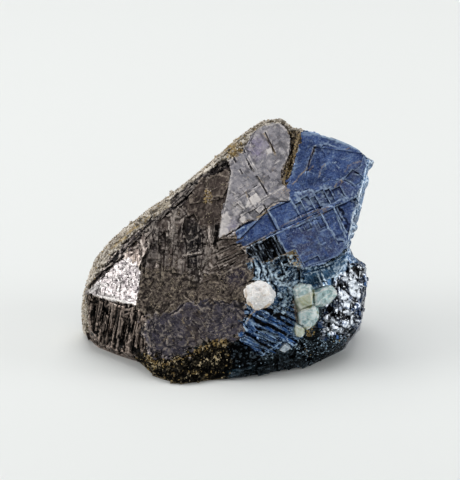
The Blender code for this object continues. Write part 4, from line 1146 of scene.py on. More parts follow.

# The gaps along the rind, painted black as shade.
# The pale rim at the right of the blue crystal: painted highlights along its edges.
# The rim at the upper left: a painted highlight along its outer edge.
STROKES = strokes("""
# The grey crystal.
gold 1.5 .9 264,134 269,142 272,147 275.5,154
dark .8 .9 266,138 270,143 272.5,147.5 273.5,151
dark .9 .9 240,144 243,149 245,153
pale .9 .9 249,156 253,164 257,171
dark .7 .9 248.5,164 252,171 256,176.5
pale .5 .7 246,155 251,165 254,171
dark .6 .9 233,155 235,159 237,163
gold .7 .8 257,176 260,180 264,183.5
dark .8 .9 262,185 264.5,189 268,196
dark .8 1 253.5,187.5 256.5,185.2
pale .7 .7 257,201 266,196 275,191.5 285,186.5
pale .5 .8 230,194 232,191 235,193 236,199
pale .7 .9 268,166.5 270.5,167
pale .5 .8 275,164 279,161
pale .8 .9 289,156 286,161 283,168
dark .9 .6 256,131 251,139 247.5,148
pale .5 .7 228,208 240,201 245,209
gold .8 .8 245.5,191 247,196.5
dark 1.4 1 234,231.5 240,227 246,223 253,221
dark 1.1 .9 259,215 265,209 273,203 282,201.5 289,202
gold .9 .7 264,211 270,207 276,203.5
# The groove between the grey and the blue crystal.
gold .9 .9 299,134 296,146 291,160 287,171 283.5,181
dark 1 1 294,144 291,152 287,162 283.5,173
gold .7 .9 297,150 293,160 290,169 286.5,184
dark .8 1 293,156 289,169 286,180
pale .7 .8 290,158 287,165
dark 1.2 .9 290,133 291.5,141
# The blue crystal.
gold 1.5 .9 315,146 313,152 310.5,158 309,163 306.5,169.5
dark .9 1 315,147 312.5,153 310,159 307.5,167
gold .7 .8 307,169 303,173 299,176 296,181 292.5,184
dark .6 .8 307,170 306,176 304,182
gold .6 .8 314,165 311,168 309,171
pale .6 .7 314,145.8 318,145 322,145.2
pale 1.2 1 324,143.7 326.5,143.4
dark .7 .9 322,146 325,145
pale .6 .8 326,144 332,145.5 338,148 344,149.5 347,149.3
gold .9 .9 346.5,149.5 350,147.5
pale .5 .6 350,147.5 357,149 363,152.5
dark 1 1 364,153 366,157 369.5,160
pale .5 .6 334,150 332,156 329,161 325,164 327,170
gold .5 .7 325,164 322,167 319.5,174 318.5,179
pale .9 .9 333,163 336,162.5
pale .9 .9 337,165 339,168
gold .6 .6 345,172 349,166 354,163 361,161.5
dark .8 .9 355,172 360,173.5
pale .8 1 355,174 359,174.8 362,177
dark .6 .9 344,180.5 349,182.5 354,187
pale .8 1 343,178.5 349,180.8 353,183.5 355.5,186.5
pale 1.3 1 337,179.3 338.8,179.3
gold .7 .9 335,187 338,183 342,180
gold .6 .9 340,186 343,181.5
pale .6 .9 296,194 300,201 303,207
pale .5 .7 311,202 315,208.5
pale .6 .8 316,197 320,203 324,207.5
pale .6 .8 295,192.5 299,194 307,191
dark .8 .8 295,190.5 303,191 309,188.5
pale 1.3 1 289,198 292,202.5 295,208
pale 1 1 341,194.5 345,197.5 348,200
pale .5 .7 324,206 332,203 340,200 345,199
gold .9 .6 231,254 240,249 250,244 262,238 272,233 279,229.5
dark 1.1 1 244,248 256,242.2 266,237.6 276,232.6
pale .6 .8 252,245.4 260,241.6 270,236.6 281,231.8 290,227.6
dark .6 .9 288,220.8 300,215 312,209.8 322,206.6
gold .8 .7 281,226 288,222.6 300,217 312,211.8 322,208.6 330,206.4
dark .5 .8 284,227.6 296,222.4 310,216 320,212.6
pale .9 .9 288,227.8 295,226 303,222.8 310,219 316,217 322,215.8
dark .7 .8 290,229.4 300,226 310,221.4 318,219
pale 1 1 268,211 272,216 275,221 278,227 280,231
gold 1 .8 257,217.5 264,214 269,211.5
pale .8 .9 236,231.5 239,229.8 244,227.5
gold .7 .8 235,236 238,245
pale 1 1 320.5,213.5 324,219 327,225 329,229.5 332,231 335,237.5 337.5,240
dark .6 .8 322,218 325,224 327,229.5
pale 1 1 333,207 336,213 339,221 341,227 343,232 346,237
pale .9 1 328,207 331,206 334,208
pale .8 .9 337,240 341,239 344,241 345.5,244
dark .7 .9 338,241.5 342,241 344,244
pale .5 .6 313.5,221 316,227 319,232 324,230 327.5,229
pale .5 .7 299,228 303,234 305,240
pale .5 .6 318,244 322,244.4 326,241.8 328,244 331,242
pale .6 .7 291,245.5 297,247
pale .5 .6 299,256.5 308,251
pale .8 1 341,222 344,228 347,233
pale .7 .9 337,208 340,214 344,220
pale .7 .7 304,269 313,266 320,264 326,262
pale .8 .9 324.5,262 329,267.5
pale .6 .6 296,250 299,258 303,268
# The pit and the small cubes under it.
pale 1 1 273.5,236 277,242.5 279.5,248 283,254
pale .8 .7 279,238 283,246 287,254
pale 1.1 1 251.5,244.5 256,250
pale 1.1 .9 244,247.5 249,247.5
pale .9 .9 256,253 259,258 262,262.5
pale .6 .7 263,245 267,252 270,257 273,259
pale .6 .6 259,247 263,254
pale 1.3 1 271.5,250.3 273,250.8
gold .8 .8 262,263 270,260 278,257 287,253.5 294,250
pale 1.2 1 245,250 246,253
pale 1.4 1 253,257 256,264 258.5,270.5
dark 1.2 1 259.5,262 262,268 260.5,277
pale 1.2 1 264,266 265,272 262.5,280
dark 1 1 267,266 268,273 266,281
pale 1.3 1 270,270 271,274 272.5,278.5
pale 1.1 1 275,274 278,279 281,284
pale 1.3 1 280,285.5 286,284.8 291,289
pale .7 .9 281,262 284,268 288,276
dark .8 .9 279,262 282,270 285,276
dark 1.3 1 245,284 252,281 262,281.5 271,281.5 276,287 277,296
dark 1.5 1 244.5,301.5 248,303 252,308
gold .8 .9 252,307.5 258,309.5 265,307.5 271,304
dark 1.2 1 293,299 291,305 293,309
# The teal face.
pale .7 .8 317,273 319.5,279 322.5,286
pale 1 1 321.5,273.5 324.5,280 327.5,287
pale 1 1 346.5,264 351,269 354,273.5 358,278
dark .9 .9 305,273 311,271.5 318,270 326,267.5 334,264
# The striated crystal.
gold .9 1 256,309 250,316 245.5,323
dark 1 1 251,311 246,318 242,326
pale 1.3 1 243.5,327 247,331
pale .7 .9 262,355.5 268,351 276,346 283,341 291,332
pale 1.3 .8 263,331 270,333.5 278,337
pale .9 .8 258,333.5 266,338 274,342
pale .7 .8 255,342 262,346 270,350
dark 1.1 1 259,336.5 267,341 276,344.5
dark 1.1 1 250,336 258,341.5 268,346.5
dark 1.6 1 240,342 250,348 262,354.5
pale .9 .9 236,361.5 240,361 244,358.5
# The broken cubes at the right.
dark 1.2 1 342,283 346,285 351,288
dark 1.2 1 332,291 336,293 341,297
dark .9 1 343,290 350,294 356,299
pale 1 .9 334,320 339,323.5 344,325.5
dark .8 1 334,322.5 339,326 344,328
# The pale rim at the right of the blue crystal.
pale 1.4 .65 370,158 368,166 365,177 362,189 358,202 354,214 351,228 349,240
dark .5 .6 364,168 361,180 358,190
pale 1.8 .85 312,133 323,136 340,141.5 355,147.5 364,153
gold .4 .5 325,134.5 336,138.5
# The rim at the upper left.
pale 2 .85 140,217 147,212.5 154,207 163,202 169.5,197 174,191.5 181.5,186 190.5,179.5 200,174 209,168.5
gold .8 .6 140,219.5 148,214 156,209 164,203.5
pale 1.6 .7 209,168.5 218,161 228,155
# The shards left of the white grain.
dark 1.4 1 254,262 255,271 254,279
dark 1.2 .9 261,266 263,275 266,281
pale 1.3 .95 257.5,265 259.5,272 258,280
pale 1 .9 263.5,270 267,279 271,285
pale .9 .9 251,260 252.5,266
pale .8 .9 268,268 272,274
# The brown face.
dark .7 .7 205,226 208,236 210,247
dark .6 .7 200,224 203,236 203,246
pale .5 .7 208,229 209,238 211,246
pale .8 .7 150,226 151,236 149,246
pale .7 .6 155,224 157,234 156,245
pale .6 .7 171,216 172.5,228 171,240 172,252
pale .5 .5 174,212 173,222 175,232
dark .6 .6 168,222 169,234 168,246
pale .4 .6 188,252 194,249 200,250 206,247
pale .4 .5 184,262 190,258 198,257 202,252
dark .5 .6 196,275 202,270 207,262 210,252
pale .4 .5 205,262 212,256 220,251
pale .4 .5 207,270 216,266 226,262 238,256
dark .5 .5 210,272 222,268 236,262
pale .8 .7 176.5,211 173,219 171.5,228 172.5,236 172,246
pale 1.2 .9 168.5,222 169.5,230
pale 1.4 .5 154,222 152,230 150,240
pale 1.2 .9 140.5,240 142,246 144,250
pale .9 .9 148.5,239 149,248
dark 1.1 1 146,238 145.5,246
dark 1 .9 153,233 154,246
pale .7 .5 157,230 158,248
pale 1 .9 169.5,214 171,218
pale .8 .8 209,227 210,236 212,245 214,251
pale .6 .7 211.5,230 213,240
gold 1.5 1 205,199 207.5,197
gold 1.1 1 207,190 210,194 209,199
pale .9 .9 208.5,203 211.5,204.5
pale .7 .6 210,196.8 217,195.6 222,195.6 226,198
dark .8 .8 210,199 217,197.6 224,198.5
pale .5 .5 195,190 202,188 212,189 222,186
pale .9 .9 221,175 226,177
pale .9 .9 183,255 192,254.5 200,252.5
dark .8 .9 185,257.5 193,256.5 201,254.5
pale 1.2 1 209.5,263 212.5,268
pale 1 1 207,272 210.5,275.5
pale .8 .8 213,260 215,262
pale 1 .9 222,262 226,266
dark 1 .9 213,303.5 222,302 231,304
pale .5 .8 181,294.5 190,301 197,306 205,312.5
pale .5 .5 210,309 205,318
dark 1.3 .9 170,315 178,309.5 184,303.5
pale 1.4 1 156,311.5 156.8,313
pale .5 .5 207,327 213,326 216,331
pale .6 .7 178,334 182,337
pale .9 .8 168,321 171,325
pale .8 .7 162,330 166,331
# The stepped ledges beside the pit.
dark .8 .8 217,241 224,238 232,237
pale .6 .6 213,252 221,247 231,243 238,241
dark .8 .9 214,254 222,249 232,245 240,243.5
pale .6 .6 222,259.5 232,255 244,250.5
dark .8 .9 214,265 224,261 234,257 244,253
pale .5 .7 222,274.5 234,268.5 246,262.5
# Cracks and specks of the slate-coloured face.
gold .3 .6 182,310 183,321 190,330 196,341
gold .3 .5 196,308 203,318 206,330 207,340
gold .3 .45 186,334 188,346
pale .3 .4 166,322 170,331 176,339 182,346
pale .3 .45 207,326.5 214,325 216,331
dark .9 .9 198,328 200.5,331 203.5,334
dark .8 .9 143.5,326 142,337 144,350
pale .4 .6 144,338 148,353
dark .7 .85 147.5,330 150,323 154,319
dark .6 .8 152,330 155,322
dark .6 .7 168,356.5 180,352.5 192,347.5
pale 1 .9 168.3,321 168.8,322
pale .8 .8 170.5,324.5 171,325.5
pale .8 .8 162,329 163,330
pale .7 .8 165.5,329.5 167,329.5
pale .8 .8 167,340 167.3,345
pale .7 .8 178.5,334 180.5,336.5
pale .7 .7 152,329.5 153.5,330
dark .5 .6 232,320 236,312 243,309
dark .5 .7 188,318 196,324 199,326
gold .3 .5 160,345 166,338 176,342
pale .3 .4 223,327 230,318 233,309
# The bright facet and the ribs below it.
pale 1.6 .9 96,295.5 108,298 120,301 133,303.5
pale 1.2 .8 92,291 99,286.5 106,283
dark .7 .7 118,276 121,282 120,289
dark .6 .6 126,272 129,280 128,290
dark .8 .6 110,283 116,287
dark .5 .6 104,286 109,292
dark .8 1 112,298 116,294 121,290.5
dark 1.2 .9 95,297.5 108,301.3 122,305 135,307
pale .8 .7 104,316 103,325 102,335 101,344
pale 1.1 .6 112,308 111,322 109,335 107,348
pale .8 .7 121,311 119,325 117,336 115,351
pale .8 .8 131,316 131.5,330 130,340
pale .7 .8 137,320 136.5,334 130,341 124,347
pale 1.2 .8 125,346 129,348 128,353
pale .7 .7 140,325 142,333 145,340
pale .8 .7 125,335 130,335.5
pale .8 .9 124,310 130,309
pale .7 .8 124,314.5 130,313
pale 1 .7 94,303 98,309 97,313
pale 1 .8 104,307 110,303.5
pale .9 .7 94,325 99,322 103,315
dark 1.3 1 113,316 112,328 110,345
dark 1 1 134,312 134,330 133,352
dark 1.2 1 105,325 105,348
# The black gaps along the rind.
dark 1.6 1 95.5,275.5 99,272
dark 1.6 1 102,267 106,264
dark 1.7 1 107.5,264.5 111.5,261
dark 1.8 1 111,255 115,251.5
dark 1.9 1 122,244 127.5,240
dark 1.6 1 126.5,237.5 131,234.5
dark 1.9 1 133,234 138.5,229
dark 1.2 .9 143,225 150,220 160,214
gold 1.7 .9 111,249 118,243.5 126,237
gold 1.3 .9 128,232.5 136,227.5 144,222 150,216
pale 1.5 1 152,217 157.5,213.2
""")

# The broken cubes at the right: painted highlights on their fresh faces and painted shade in the gaps between
# them.
# The crust of the toe: painted shade.
# The foot: painted shade where it turns under.
# The pit, darkened with painted shade, and the teal face.
# The ribs under the bright facet: painted shade in the gaps between them.
PATCHES = patches("""
# The grey crystal.
stain .9 .85 253,134 259,138 262,135 268,140 272,147 266,150 262,158 256,160 250,156 247,150 249,141
pale .8 1 266,149 271,147.5 273,152 267,155
pale .75 .9 250,197 256,193.5 260,199 261,202 250,207 245,208
pale .45 .9 231,207 239,201 245,208 239,213 235,216
pale .7 .8 221,215 228,211 231,219 228,224 229,232 222,236 219,237 220,228
pale .7 .9 240,218 245,216 246,222 240,225
stain .9 .9 229,224 236,219 238,226 233,232 228,232
dark .3 .5 272,127 284,127 289,136 288,152 280,166 274,160 276,146 272,138
pale .3 .4 246,140 256,131 266,126 258,140 248,152
dark .2 1 229,212 234,210 236,216 231,219
pale .3 .5 221,222 227,214 231,224 226,232 220,236
gold .8 .5 225,147 238,142 244,150 240,156 230,158
# The blue crystal.
stain .9 .95 342,181 353,186 352,193 350,199 343,194 340,188
dark .35 .7 302,136 312,140 322,148 330,166 322,182 304,188 296,182 298,160
dark .3 .5 318,222 334,226 340,244 324,252 310,246
pale .25 .4 304,133 316,132 336,139 356,148 350,152 330,145 310,142
stain .9 .9 347,173 356,163 364,164 362,176 358,180 350,178
stain .8 .7 282,236 320,219 334,238 344,243 338,252 322,262 304,262 294,250
stain .7 .6 292,192 318,184 340,186 345,195 325,205 296,210
pale .7 .22 293,192 318,186 336,184 350,199 326,207 310,210 296,211
gold .6 .45 280,232 329,206 332,209 322,215 310,219 290,228
dark 1 .85 334,205 341,203 344,213 342,217 338,214
dark .9 .6 338,210 344,213 351,226 352,234 347,235 342,224
pale .7 .35 352,192 362,186 366,176 368,176 360,203 356,215 354,228 350,240 345,248 347,238 352,226
  351,208
gold .9 .6 287,254 295,250 301,262 303,268 296,270 289,266
pale .9 .3 287,254 295,250 301,262 303,268 296,270 289,266
# The pit and the teal face.
dark 1 .95 247,249 275,236 286,253 262,262 256,258 247,256
pale .8 .22 268,276 290,274 296,270 304,282 296,296 292,312 280,318 270,308 276,298
pale .7 .2 262,264 287,255 296,270 290,276 270,274
dark .6 .35 262,264 287,255 300,272 296,296 280,300 266,280
pale .3 .2 334,258 345,251 350,256 350,268 340,272 334,266
# The broken cubes at the right: fresh faces and the gaps between them.
pale 1 .9 341,278 347,275 349,279 345,281.5
pale 1 .75 350,271 355,277 359,285 361,296 356,298 350,291 348,281
pale 1 .7 340,291 346,291 350,297 344,300.5 338,298
pale 1 .9 341,303 352,300.5 354,304 349,307 343,306.5
pale 1 .9 343,311.5 350,309.5 354,312 350,315
pale .8 .9 333,323 343,328 341,333 334,332 330,327
pale .9 .9 345,326 350,319 354,314 353,322 349,328
pale 1 .6 323,328 329,329 334,334 330,336 324,332
dark 1 1 336,313 340,309 351,317 347,323 340,319.5
dark 1 1 344,328 350,328 350,334 344,333
dark 1 1 354,296 359,301 352,309 349,307
dark 1 .9 345,281 350,286 344,290 338,288 337,284
dark 1 .9 356,262 366,268 364,278 358,277 352,268
dark .9 .5 322,310 334,302 338,312 334,320 322,322
dark .9 .6 326,290 336,284 340,300 336,330 326,334 322,316
pale .8 .35 334,276 343,271 350,274 348,279 338,282
pale .6 .3 322,318 332,313 336,322 328,330
# The dark foot.
dark 1 .9 222,346 240,343 262,357 264,364 244,368 222,372
dark .9 .6 208,366 224,350 226,376 206,378
stain .9 .5 243,367 250,361 260,362 256,369
stain 1 .6 220,374 228,366 240,366 236,376
# The brown face.
dark .8 .95 184,223 190,220 197,223 201,230 204,240 203,249 194,254 187,251 184,240
dark .7 .85 186,256 198,256 200,268 198,280 192,288 188,276
stain 1 1 184,223 197,222 204,240 202,254 198,268 188,268 184,258
dark .6 .9 186,257 197,256 200,258 198,268 190,268 185,262
dark .85 .85 160,232 169,230 171,240 169,246 161,244
dark 1 .9 214,226 220,222 219,232 218,242 214,248 211,242
dark .8 .6 189,270 200,266 204,280 196,290 190,286
pale .6 .4 178,258 184,260 183,270 178,268
pale .5 .3 150,250 158,250 157,262 151,262
pale .5 .3 163,248 170,248 170,264 164,262
stain .8 .9 222,275 246,263.5 248,270 247,282 238,288 228,282
dark .9 .8 144,306 158,304 154,310 146,311
dark .8 .8 233,300 244,299 244,309 234,308
dark .9 .8 175,196 180,190 190,190 194,195 186,199 176,199
dark .9 .8 171,206 184,202 180,208 172,210
dark .9 .8 186,184 196,178 198,184 188,188
dark .85 .8 217,161 226,159 229,166 218,168 208,174 204,172
# The slate face.
stain .9 .9 182,312 187,310 190,318 187,324 182,322
stain .8 .85 184,325 196,324 205,335 204,344 196,347 188,338
stain .7 .7 190,306 204,312 208,322 200,324 190,318
stain .7 .5 205,305 215,305 214,325 206,326
dark .5 .5 146,316 160,314 156,328 148,336
# The bright facet.
dark .35 .5 116,268 129,259 139,268 140,294 130,286 122,276
# The crust of the toe.
dark .9 .75 150,370 184,370 226,354 230,380 180,386 150,380
dark .8 .5 176,366 206,356 226,350 226,360 204,366 184,372
# The navy and cream streaks of the brown face.
stain .7 .8 146,232 158,224 160,244 152,262 146,256
pale .5 .35 170,214 182,206 190,212 184,222 174,226
pale .45 .3 206,236 214,246 216,262 206,268 204,252
dark .5 .45 148,246 164,240 172,252 168,268 152,270
dark .4 .4 206,262 226,254 240,262 232,274 212,276
gold .9 .4 186,356 200,346 214,342 227,338 226,345 210,350 196,356
gold 1 .6 144,356 150,354 152,361 158,366 157,370 150,366 144,364
pale .9 .4 144,356 150,354 152,361 160,364 157,370 150,366
pale 1 .6 171,358 176,357 179,364 174,367
gold 1 .8 194,350 196,345 200,347 204,344 202,351 196,354
gold 1 .8 212,343 218,338 222,340 226,344 222,347 214,346
pale 1 .7 198,365 206,358 209,361 204,364 200,367
pale 1 .7 209,360 214,356 219,357 220,361 215,366 211,363
gold .9 .7 186,371 200,368 203,372 192,375
gold .8 .2 168,366 184,364 184,378 172,376
stain 1 .8 220,373 227,369 231,372 224,377
# The ribs under the bright facet.
dark 1 .95 123,318 130,316 129,335 122,350 119,350 122,332
dark 1 .9 91,331 100,325 99,346 92,340
dark .9 .8 89,300 93,303 93,320 90,322
""")

# How far each mark stands out of the surface, in millimetres.
MARK_RELIEF = {Mark.PALE: 0.12, Mark.GOLD: 0.10, Mark.DARK: -0.38}


class Stone:
    """The galena itself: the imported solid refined, with relief along the axes of each crystal."""

    # The longest edges in millimetres: on the front, elsewhere, under a stroke and at first. An edge is
    # split once it is SLACK times as long.
    FINE_EDGE = 0.50
    COARSE_EDGE = 1.5
    STROKE_EDGE = 0.7 * FINE_EDGE
    FIRST_EDGE = 12.0
    SLACK = 1.35
    # How far under the main faces the marks, the zones of the front and the rind go on, in millimetres.
    PAINT_DEPTH = 2.5
    FRONT_DEPTH = 5.0
    RIND_DEPTH = 10.0
    # How far the borders of zones sway, in pixels.
    CRISP_BORDER = 4.0
    SOFT_BORDER = 20.0
    # The relief fades in between these heights.
    FOOT_FADE = (0.05, 0.9)
    # A point that stands out by this much has a ridge value of 1.
    RIDGE_HEIGHT = 0.085
    # How many times over the icy edge is averaged, and the bend in degrees from which an edge is sharp.
    ROUNDING = 14
    SMOOTH_ANGLE = 40
    # The tiles of even tone, along u, v and n.
    TILE = np.array([2.3, 1.9, 1.6])
    BACK_TILE = 5.0 * TILE

    def __init__(self, seed: int = 11) -> None:
        """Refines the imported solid, in steps that halve the edges, and sorts it into zones.

        Args:
            seed: another seed gives other fine relief.
        """
        self.seed = seed
        self.rng = np.random.default_rng(seed)
        self.mesh = TriangleMesh.of_node("galena_mass")
        self.mesh.tidy_triangles(self.rng, 12)
        reach = self.FIRST_EDGE
        while reach > self.FINE_EDGE:
            reach = max(reach / 2, self.FINE_EDGE)
            self.refine(reach, max(reach, self.COARSE_EDGE))
        self.zones = self.sort(self.mesh.points)
        self.face_zones = self.sort(self.mesh.points[self.mesh.faces].mean(axis=1))
        self.raised, self.marks = self.mesh.points, {}
        LOG.info("stone refined: %d triangles", len(self.mesh.faces))

    def refine(self, fine: float, coarse: float) -> None:
        """Splits the edges that the camera sees down to one length and all others to another.

        Args:
            fine: the longest edge on the front, in millimetres.
            coarse: the longest edge elsewhere.
        """
        _, _, look = CAMERA.directions()
        for _ in range(3):
            points = self.mesh.points
            shown = self.in_front(points) & (self.mesh.vertex_normals() @ look < 0.05)
            longest = np.where(shown, fine, coarse)
            if fine == self.FINE_EDGE:
                longest = np.where(shown & self.near_strokes(points), self.STROKE_EDGE, longest)
            if not self.mesh.split(longest * self.SLACK):
                break
            self.mesh.tidy_triangles(self.rng, 4)

    @staticmethod
    def near_strokes(points: Array) -> Array:
        """Tells which points fall within about a pixel of a stroke.

        Args:
            points: positions in millimetres, one a row.

        Returns:
            True for each point near one.
        """
        width, height = CAMERA.frame_size
        near = np.zeros((height, width), bool)
        for stroke in STROKES:
            corners = np.array(stroke.line)
            for start, end in zip(corners, corners[1:]):
                steps = np.linspace(start, end, int(np.ceil(np.linalg.norm(end - start))) + 1)
                for across, down in product((-0.8, 0.8), repeat=2):
                    column, row = np.round(steps + (across, down)).astype(int).T
                    near[row, column] = True
        column, row = np.clip(np.round(CAMERA.pixels(points)).astype(int), 0, (width - 1, height - 1)).T
        return near[row, column]

    @staticmethod
    def in_front(points: Array, depth: float = PAINT_DEPTH) -> Array:
        """Tells which points lie on the faces that the photograph shows, or close under them."""
        out = np.stack([plane.local(points)[:, 2] for plane in PLANES], axis=1).max(axis=1)
        return (out > -depth) & (points[:, 2] > 0.05)

    def shifts(self, points: Array, size: float, first: int, octaves: int) -> Array:
        """Works out a smooth random shift for each point.

        Args:
            points: positions in millimetres, one a row.
            size: the size of the noise's lumps.
            first: what is added to the seed.
            octaves: how many octaves the noise has.

        Returns:
            Two numbers for each point, from -0.5 to 0.5.
        """
        ways = [fractal(points / size, self.seed + first + way, octaves) - 0.5 for way in range(2)]
        return np.stack(ways, axis=1)

    def sort(self, points: Array) -> Array:
        """Sorts points of the surface into zones by the outlines, with ragged borders.

        Only the rind goes on over the rim.

        Args:
            points: positions on the stone.

        Returns:
            The number of each point's zone.
        """
        found = np.full(len(points), Zone.BACK.value)
        spots = np.flatnonzero(self.in_front(points, self.RIND_DEPTH))
        pixels = CAMERA.pixels(points[spots])
        crisp = pixels + self.CRISP_BORDER * self.shifts(points[spots], 1.6, 70, 3)
        soft = pixels + self.SOFT_BORDER * self.shifts(points[spots], 1.1, 76, 3)
        shown = np.full(len(spots), Zone.FOOT.value)
        for zone, outline in ZONE_OUTLINES:
            shown[inside(soft if zone in SOFT_BORDERS else crisp, outline)] = zone.value
        near = self.in_front(points[spots], self.FRONT_DEPTH)
        shown[(shown != Zone.RIND.value) & ~near] = Zone.BACK.value
        found[spots] = shown
        return found

    def lattice_of(self, points: Array, zones: Array) -> Array:
        """Turns points into the axes of their crystals.

        Args:
            points: positions in millimetres, one a row.
            zones: the number of each point's zone.

        Returns:
            The u, v and n of each point.
        """
        local = np.empty_like(points)
        for zone in Zone:
            mine = zones == zone.value
            local[mine] = LATTICES[zone].local(points[mine])
        return local

    def paint(self) -> tuple[dict[str, Array], Array]:
        """Puts the strokes and patches on the front.

        A patch is broken up by noise, so that only a share of its area is painted. A stain's border
        is softened: it counts how many of eight shifts round a circle fall inside.

        Returns:
            For each mark its strength at each point, from 0 to 1, and the height that they add.
        """
        points = self.mesh.points
        marks = {mark: np.zeros(len(points)) for mark in Mark}
        height = np.zeros(len(points))
        spots = np.flatnonzero(self.in_front(points))
        pixels = CAMERA.pixels(points[spots]) + 1.6 * self.shifts(points[spots], 0.9, 50, 2)
        seen = smooth_step(-(self.mesh.vertex_normals()[spots] @ CAMERA.directions()[2]), 0.1, 0.3)
        broken = fractal(points[spots] / 0.75, self.seed + 40, 3)
        rank = broken.argsort().argsort() / max(len(spots) - 1, 1)
        thin = fractal(points[spots] / 0.55, self.seed + 44, 2)
        turn = np.arange(8) * math.pi / 4
        ring = 4.0 * np.stack([np.cos(turn), np.sin(turn)], axis=1)
        for patch in PATCHES:
            if patch.mark is Mark.STAIN:
                cover = sum(inside(pixels + shift, patch.outline) for shift in ring) / len(ring)
                cover = cover * smooth_step(patch.share - rank, -0.3, 0.3)
            else:
                cover = inside(pixels, patch.outline) * smooth_step(patch.share - rank, -0.06, 0.06)
            self.blend(marks, height, spots, patch.mark, patch.strength * cover * seen, 0.2)
        for stroke in STROKES:
            away = distance_to_line(pixels, stroke.line)
            reach = 0.5 * stroke.width + 0.9 * (thin - 0.5)
            cover = smooth_step(reach - away, -0.5, 0.25) * (0.5 + 0.5 * smooth_step(broken, 0.38, 0.56))
            self.blend(marks, height, spots, stroke.mark, stroke.strength * cover * seen, 1.0)
        return {mark.value: strength for mark, strength in marks.items()}, height

    @staticmethod
    def blend(
        marks: dict[Mark, Array], height: Array, spots: Array, mark: Mark, strength: Array, lift: float
    ) -> None:
        """Lays one mark over those before it, which it hides as far as it covers them.

        A stain hides none of them.

        Args:
            marks: the strength of each mark at each point so far.
            height: the height that they add so far.
            spots: the points that can be painted.
            mark: what is laid on.
            strength: how far it covers each spot, from 0 to 1.
            lift: the share of the mark's own relief that it gets.
        """
        if mark is not Mark.STAIN:
            for other in set(Mark) - {Mark.STAIN}:
                marks[other][spots] *= 1 - strength
            height[spots] = height[spots] * (1 - strength) + MARK_RELIEF[mark] * lift * strength
        marks[mark][spots] = np.maximum(marks[mark][spots], strength)

    def make(self, materials: list[bpy.types.Material]) -> None:
        """Raises the relief and writes the stone.

        The ridge value is how far a point stands out from the average of the points round it, so
        that the materials can paint highlights on the edges and paint shade in the gaps.

        Args:
            materials: one for each zone, in order.
        """
        points, normals = self.mesh.points, self.mesh.vertex_normals()
        local = self.lattice_of(points, self.zones)
        height, groove = np.zeros(len(points)), np.zeros(len(points))
        for zone in Zone:
            mine = self.zones == zone.value
            height[mine], groove[mine] = RELIEFS[zone].height(local[mine], self.seed + 20 * zone.value)
        self.marks, drawn = self.paint()
        foot = points[:, 2].min()
        worn_and_highlit = self.mesh.averaged(points, self.ROUNDING)
        points = np.where((self.zones == Zone.ICE.value)[:, None], worn_and_highlit, points)
        height = (height + drawn) * smooth_step(points[:, 2], *self.FOOT_FADE)
        self.raised = points + normals * height[:, None]
        self.raised[:, 2] = np.maximum(self.raised[:, 2], foot)
        ridge = ((self.raised - self.mesh.averaged(self.raised, 4)) * normals).sum(axis=1)
        tile = np.where((self.zones == Zone.BACK.value)[:, None], self.BACK_TILE, self.TILE)
        tiles = blocks(local / tile, self.seed + 3) * 2 - 1
        broad = fractal(points / 4.5, self.seed + 30, 3) * 2 - 1
        shades = {"ridge": np.clip(ridge / self.RIDGE_HEIGHT, -1.5, 1.5), "groove": groove,
                  "tone": 0.3 * tiles + 1.1 * broad, **self.marks}
        corners = points[self.mesh.faces.ravel()]
        lattice = self.lattice_of(corners, np.repeat(self.face_zones, 3))
        values = {"POINT": shades, "CORNER": {"lattice": lattice}}
        Piece(
            "galena_stone", self.raised, self.mesh.faces, materials, values, self.face_zones,
            self.SMOOTH_ANGLE,
        ).write("galena", "galena_mass")

    def sample(
        self, rng: np.random.Generator, count: int, zone: Zone, within: Pixels = ()
    ) -> tuple[Array, Array]:
        """Picks random places on the surface of a zone.

        Args:
            rng: the source of chance.
            count: how many places.
            zone: where.
            within: an outline in pixels that they also have to lie in, if any.

        Returns:
            The places, and the surface's unit normals there.
        """
        corners = self.mesh.points[self.mesh.faces]
        normals = self.mesh.face_normals()
        area = np.linalg.norm(normals, axis=1)
        weight = area * (self.face_zones == zone.value) * (corners[:, :, 2].min(axis=1) > 0.6)
        if within:
            weight *= inside(CAMERA.pixels(corners.mean(axis=1)), within)
        chosen = rng.choice(len(area), count, p=weight / weight.sum())
        shares = rng.dirichlet((1, 1, 1), count)
        upright = normals[chosen] / np.maximum(area[chosen], 1e-12)[:, None]
        return np.einsum("kc,kci->ki", shares, corners[chosen]), upright


@dataclass(frozen=True)
class PlateSet:
    """Cleavage plates strewn over a zone: how many, their lengths along u, v and n, and their tilt."""
    zone: Zone
    count: int
    along: Span
    across: Span
    height: Span
    tilt: float


@dataclass(frozen=True)
class CrumbSet:
    """Angular crumbs strewn over a zone: how many, their size, and the shares of gold and pale ones."""
    zone: Zone
    count: int
    size: Span
    gold: float
    pale: float
    within: Pixels


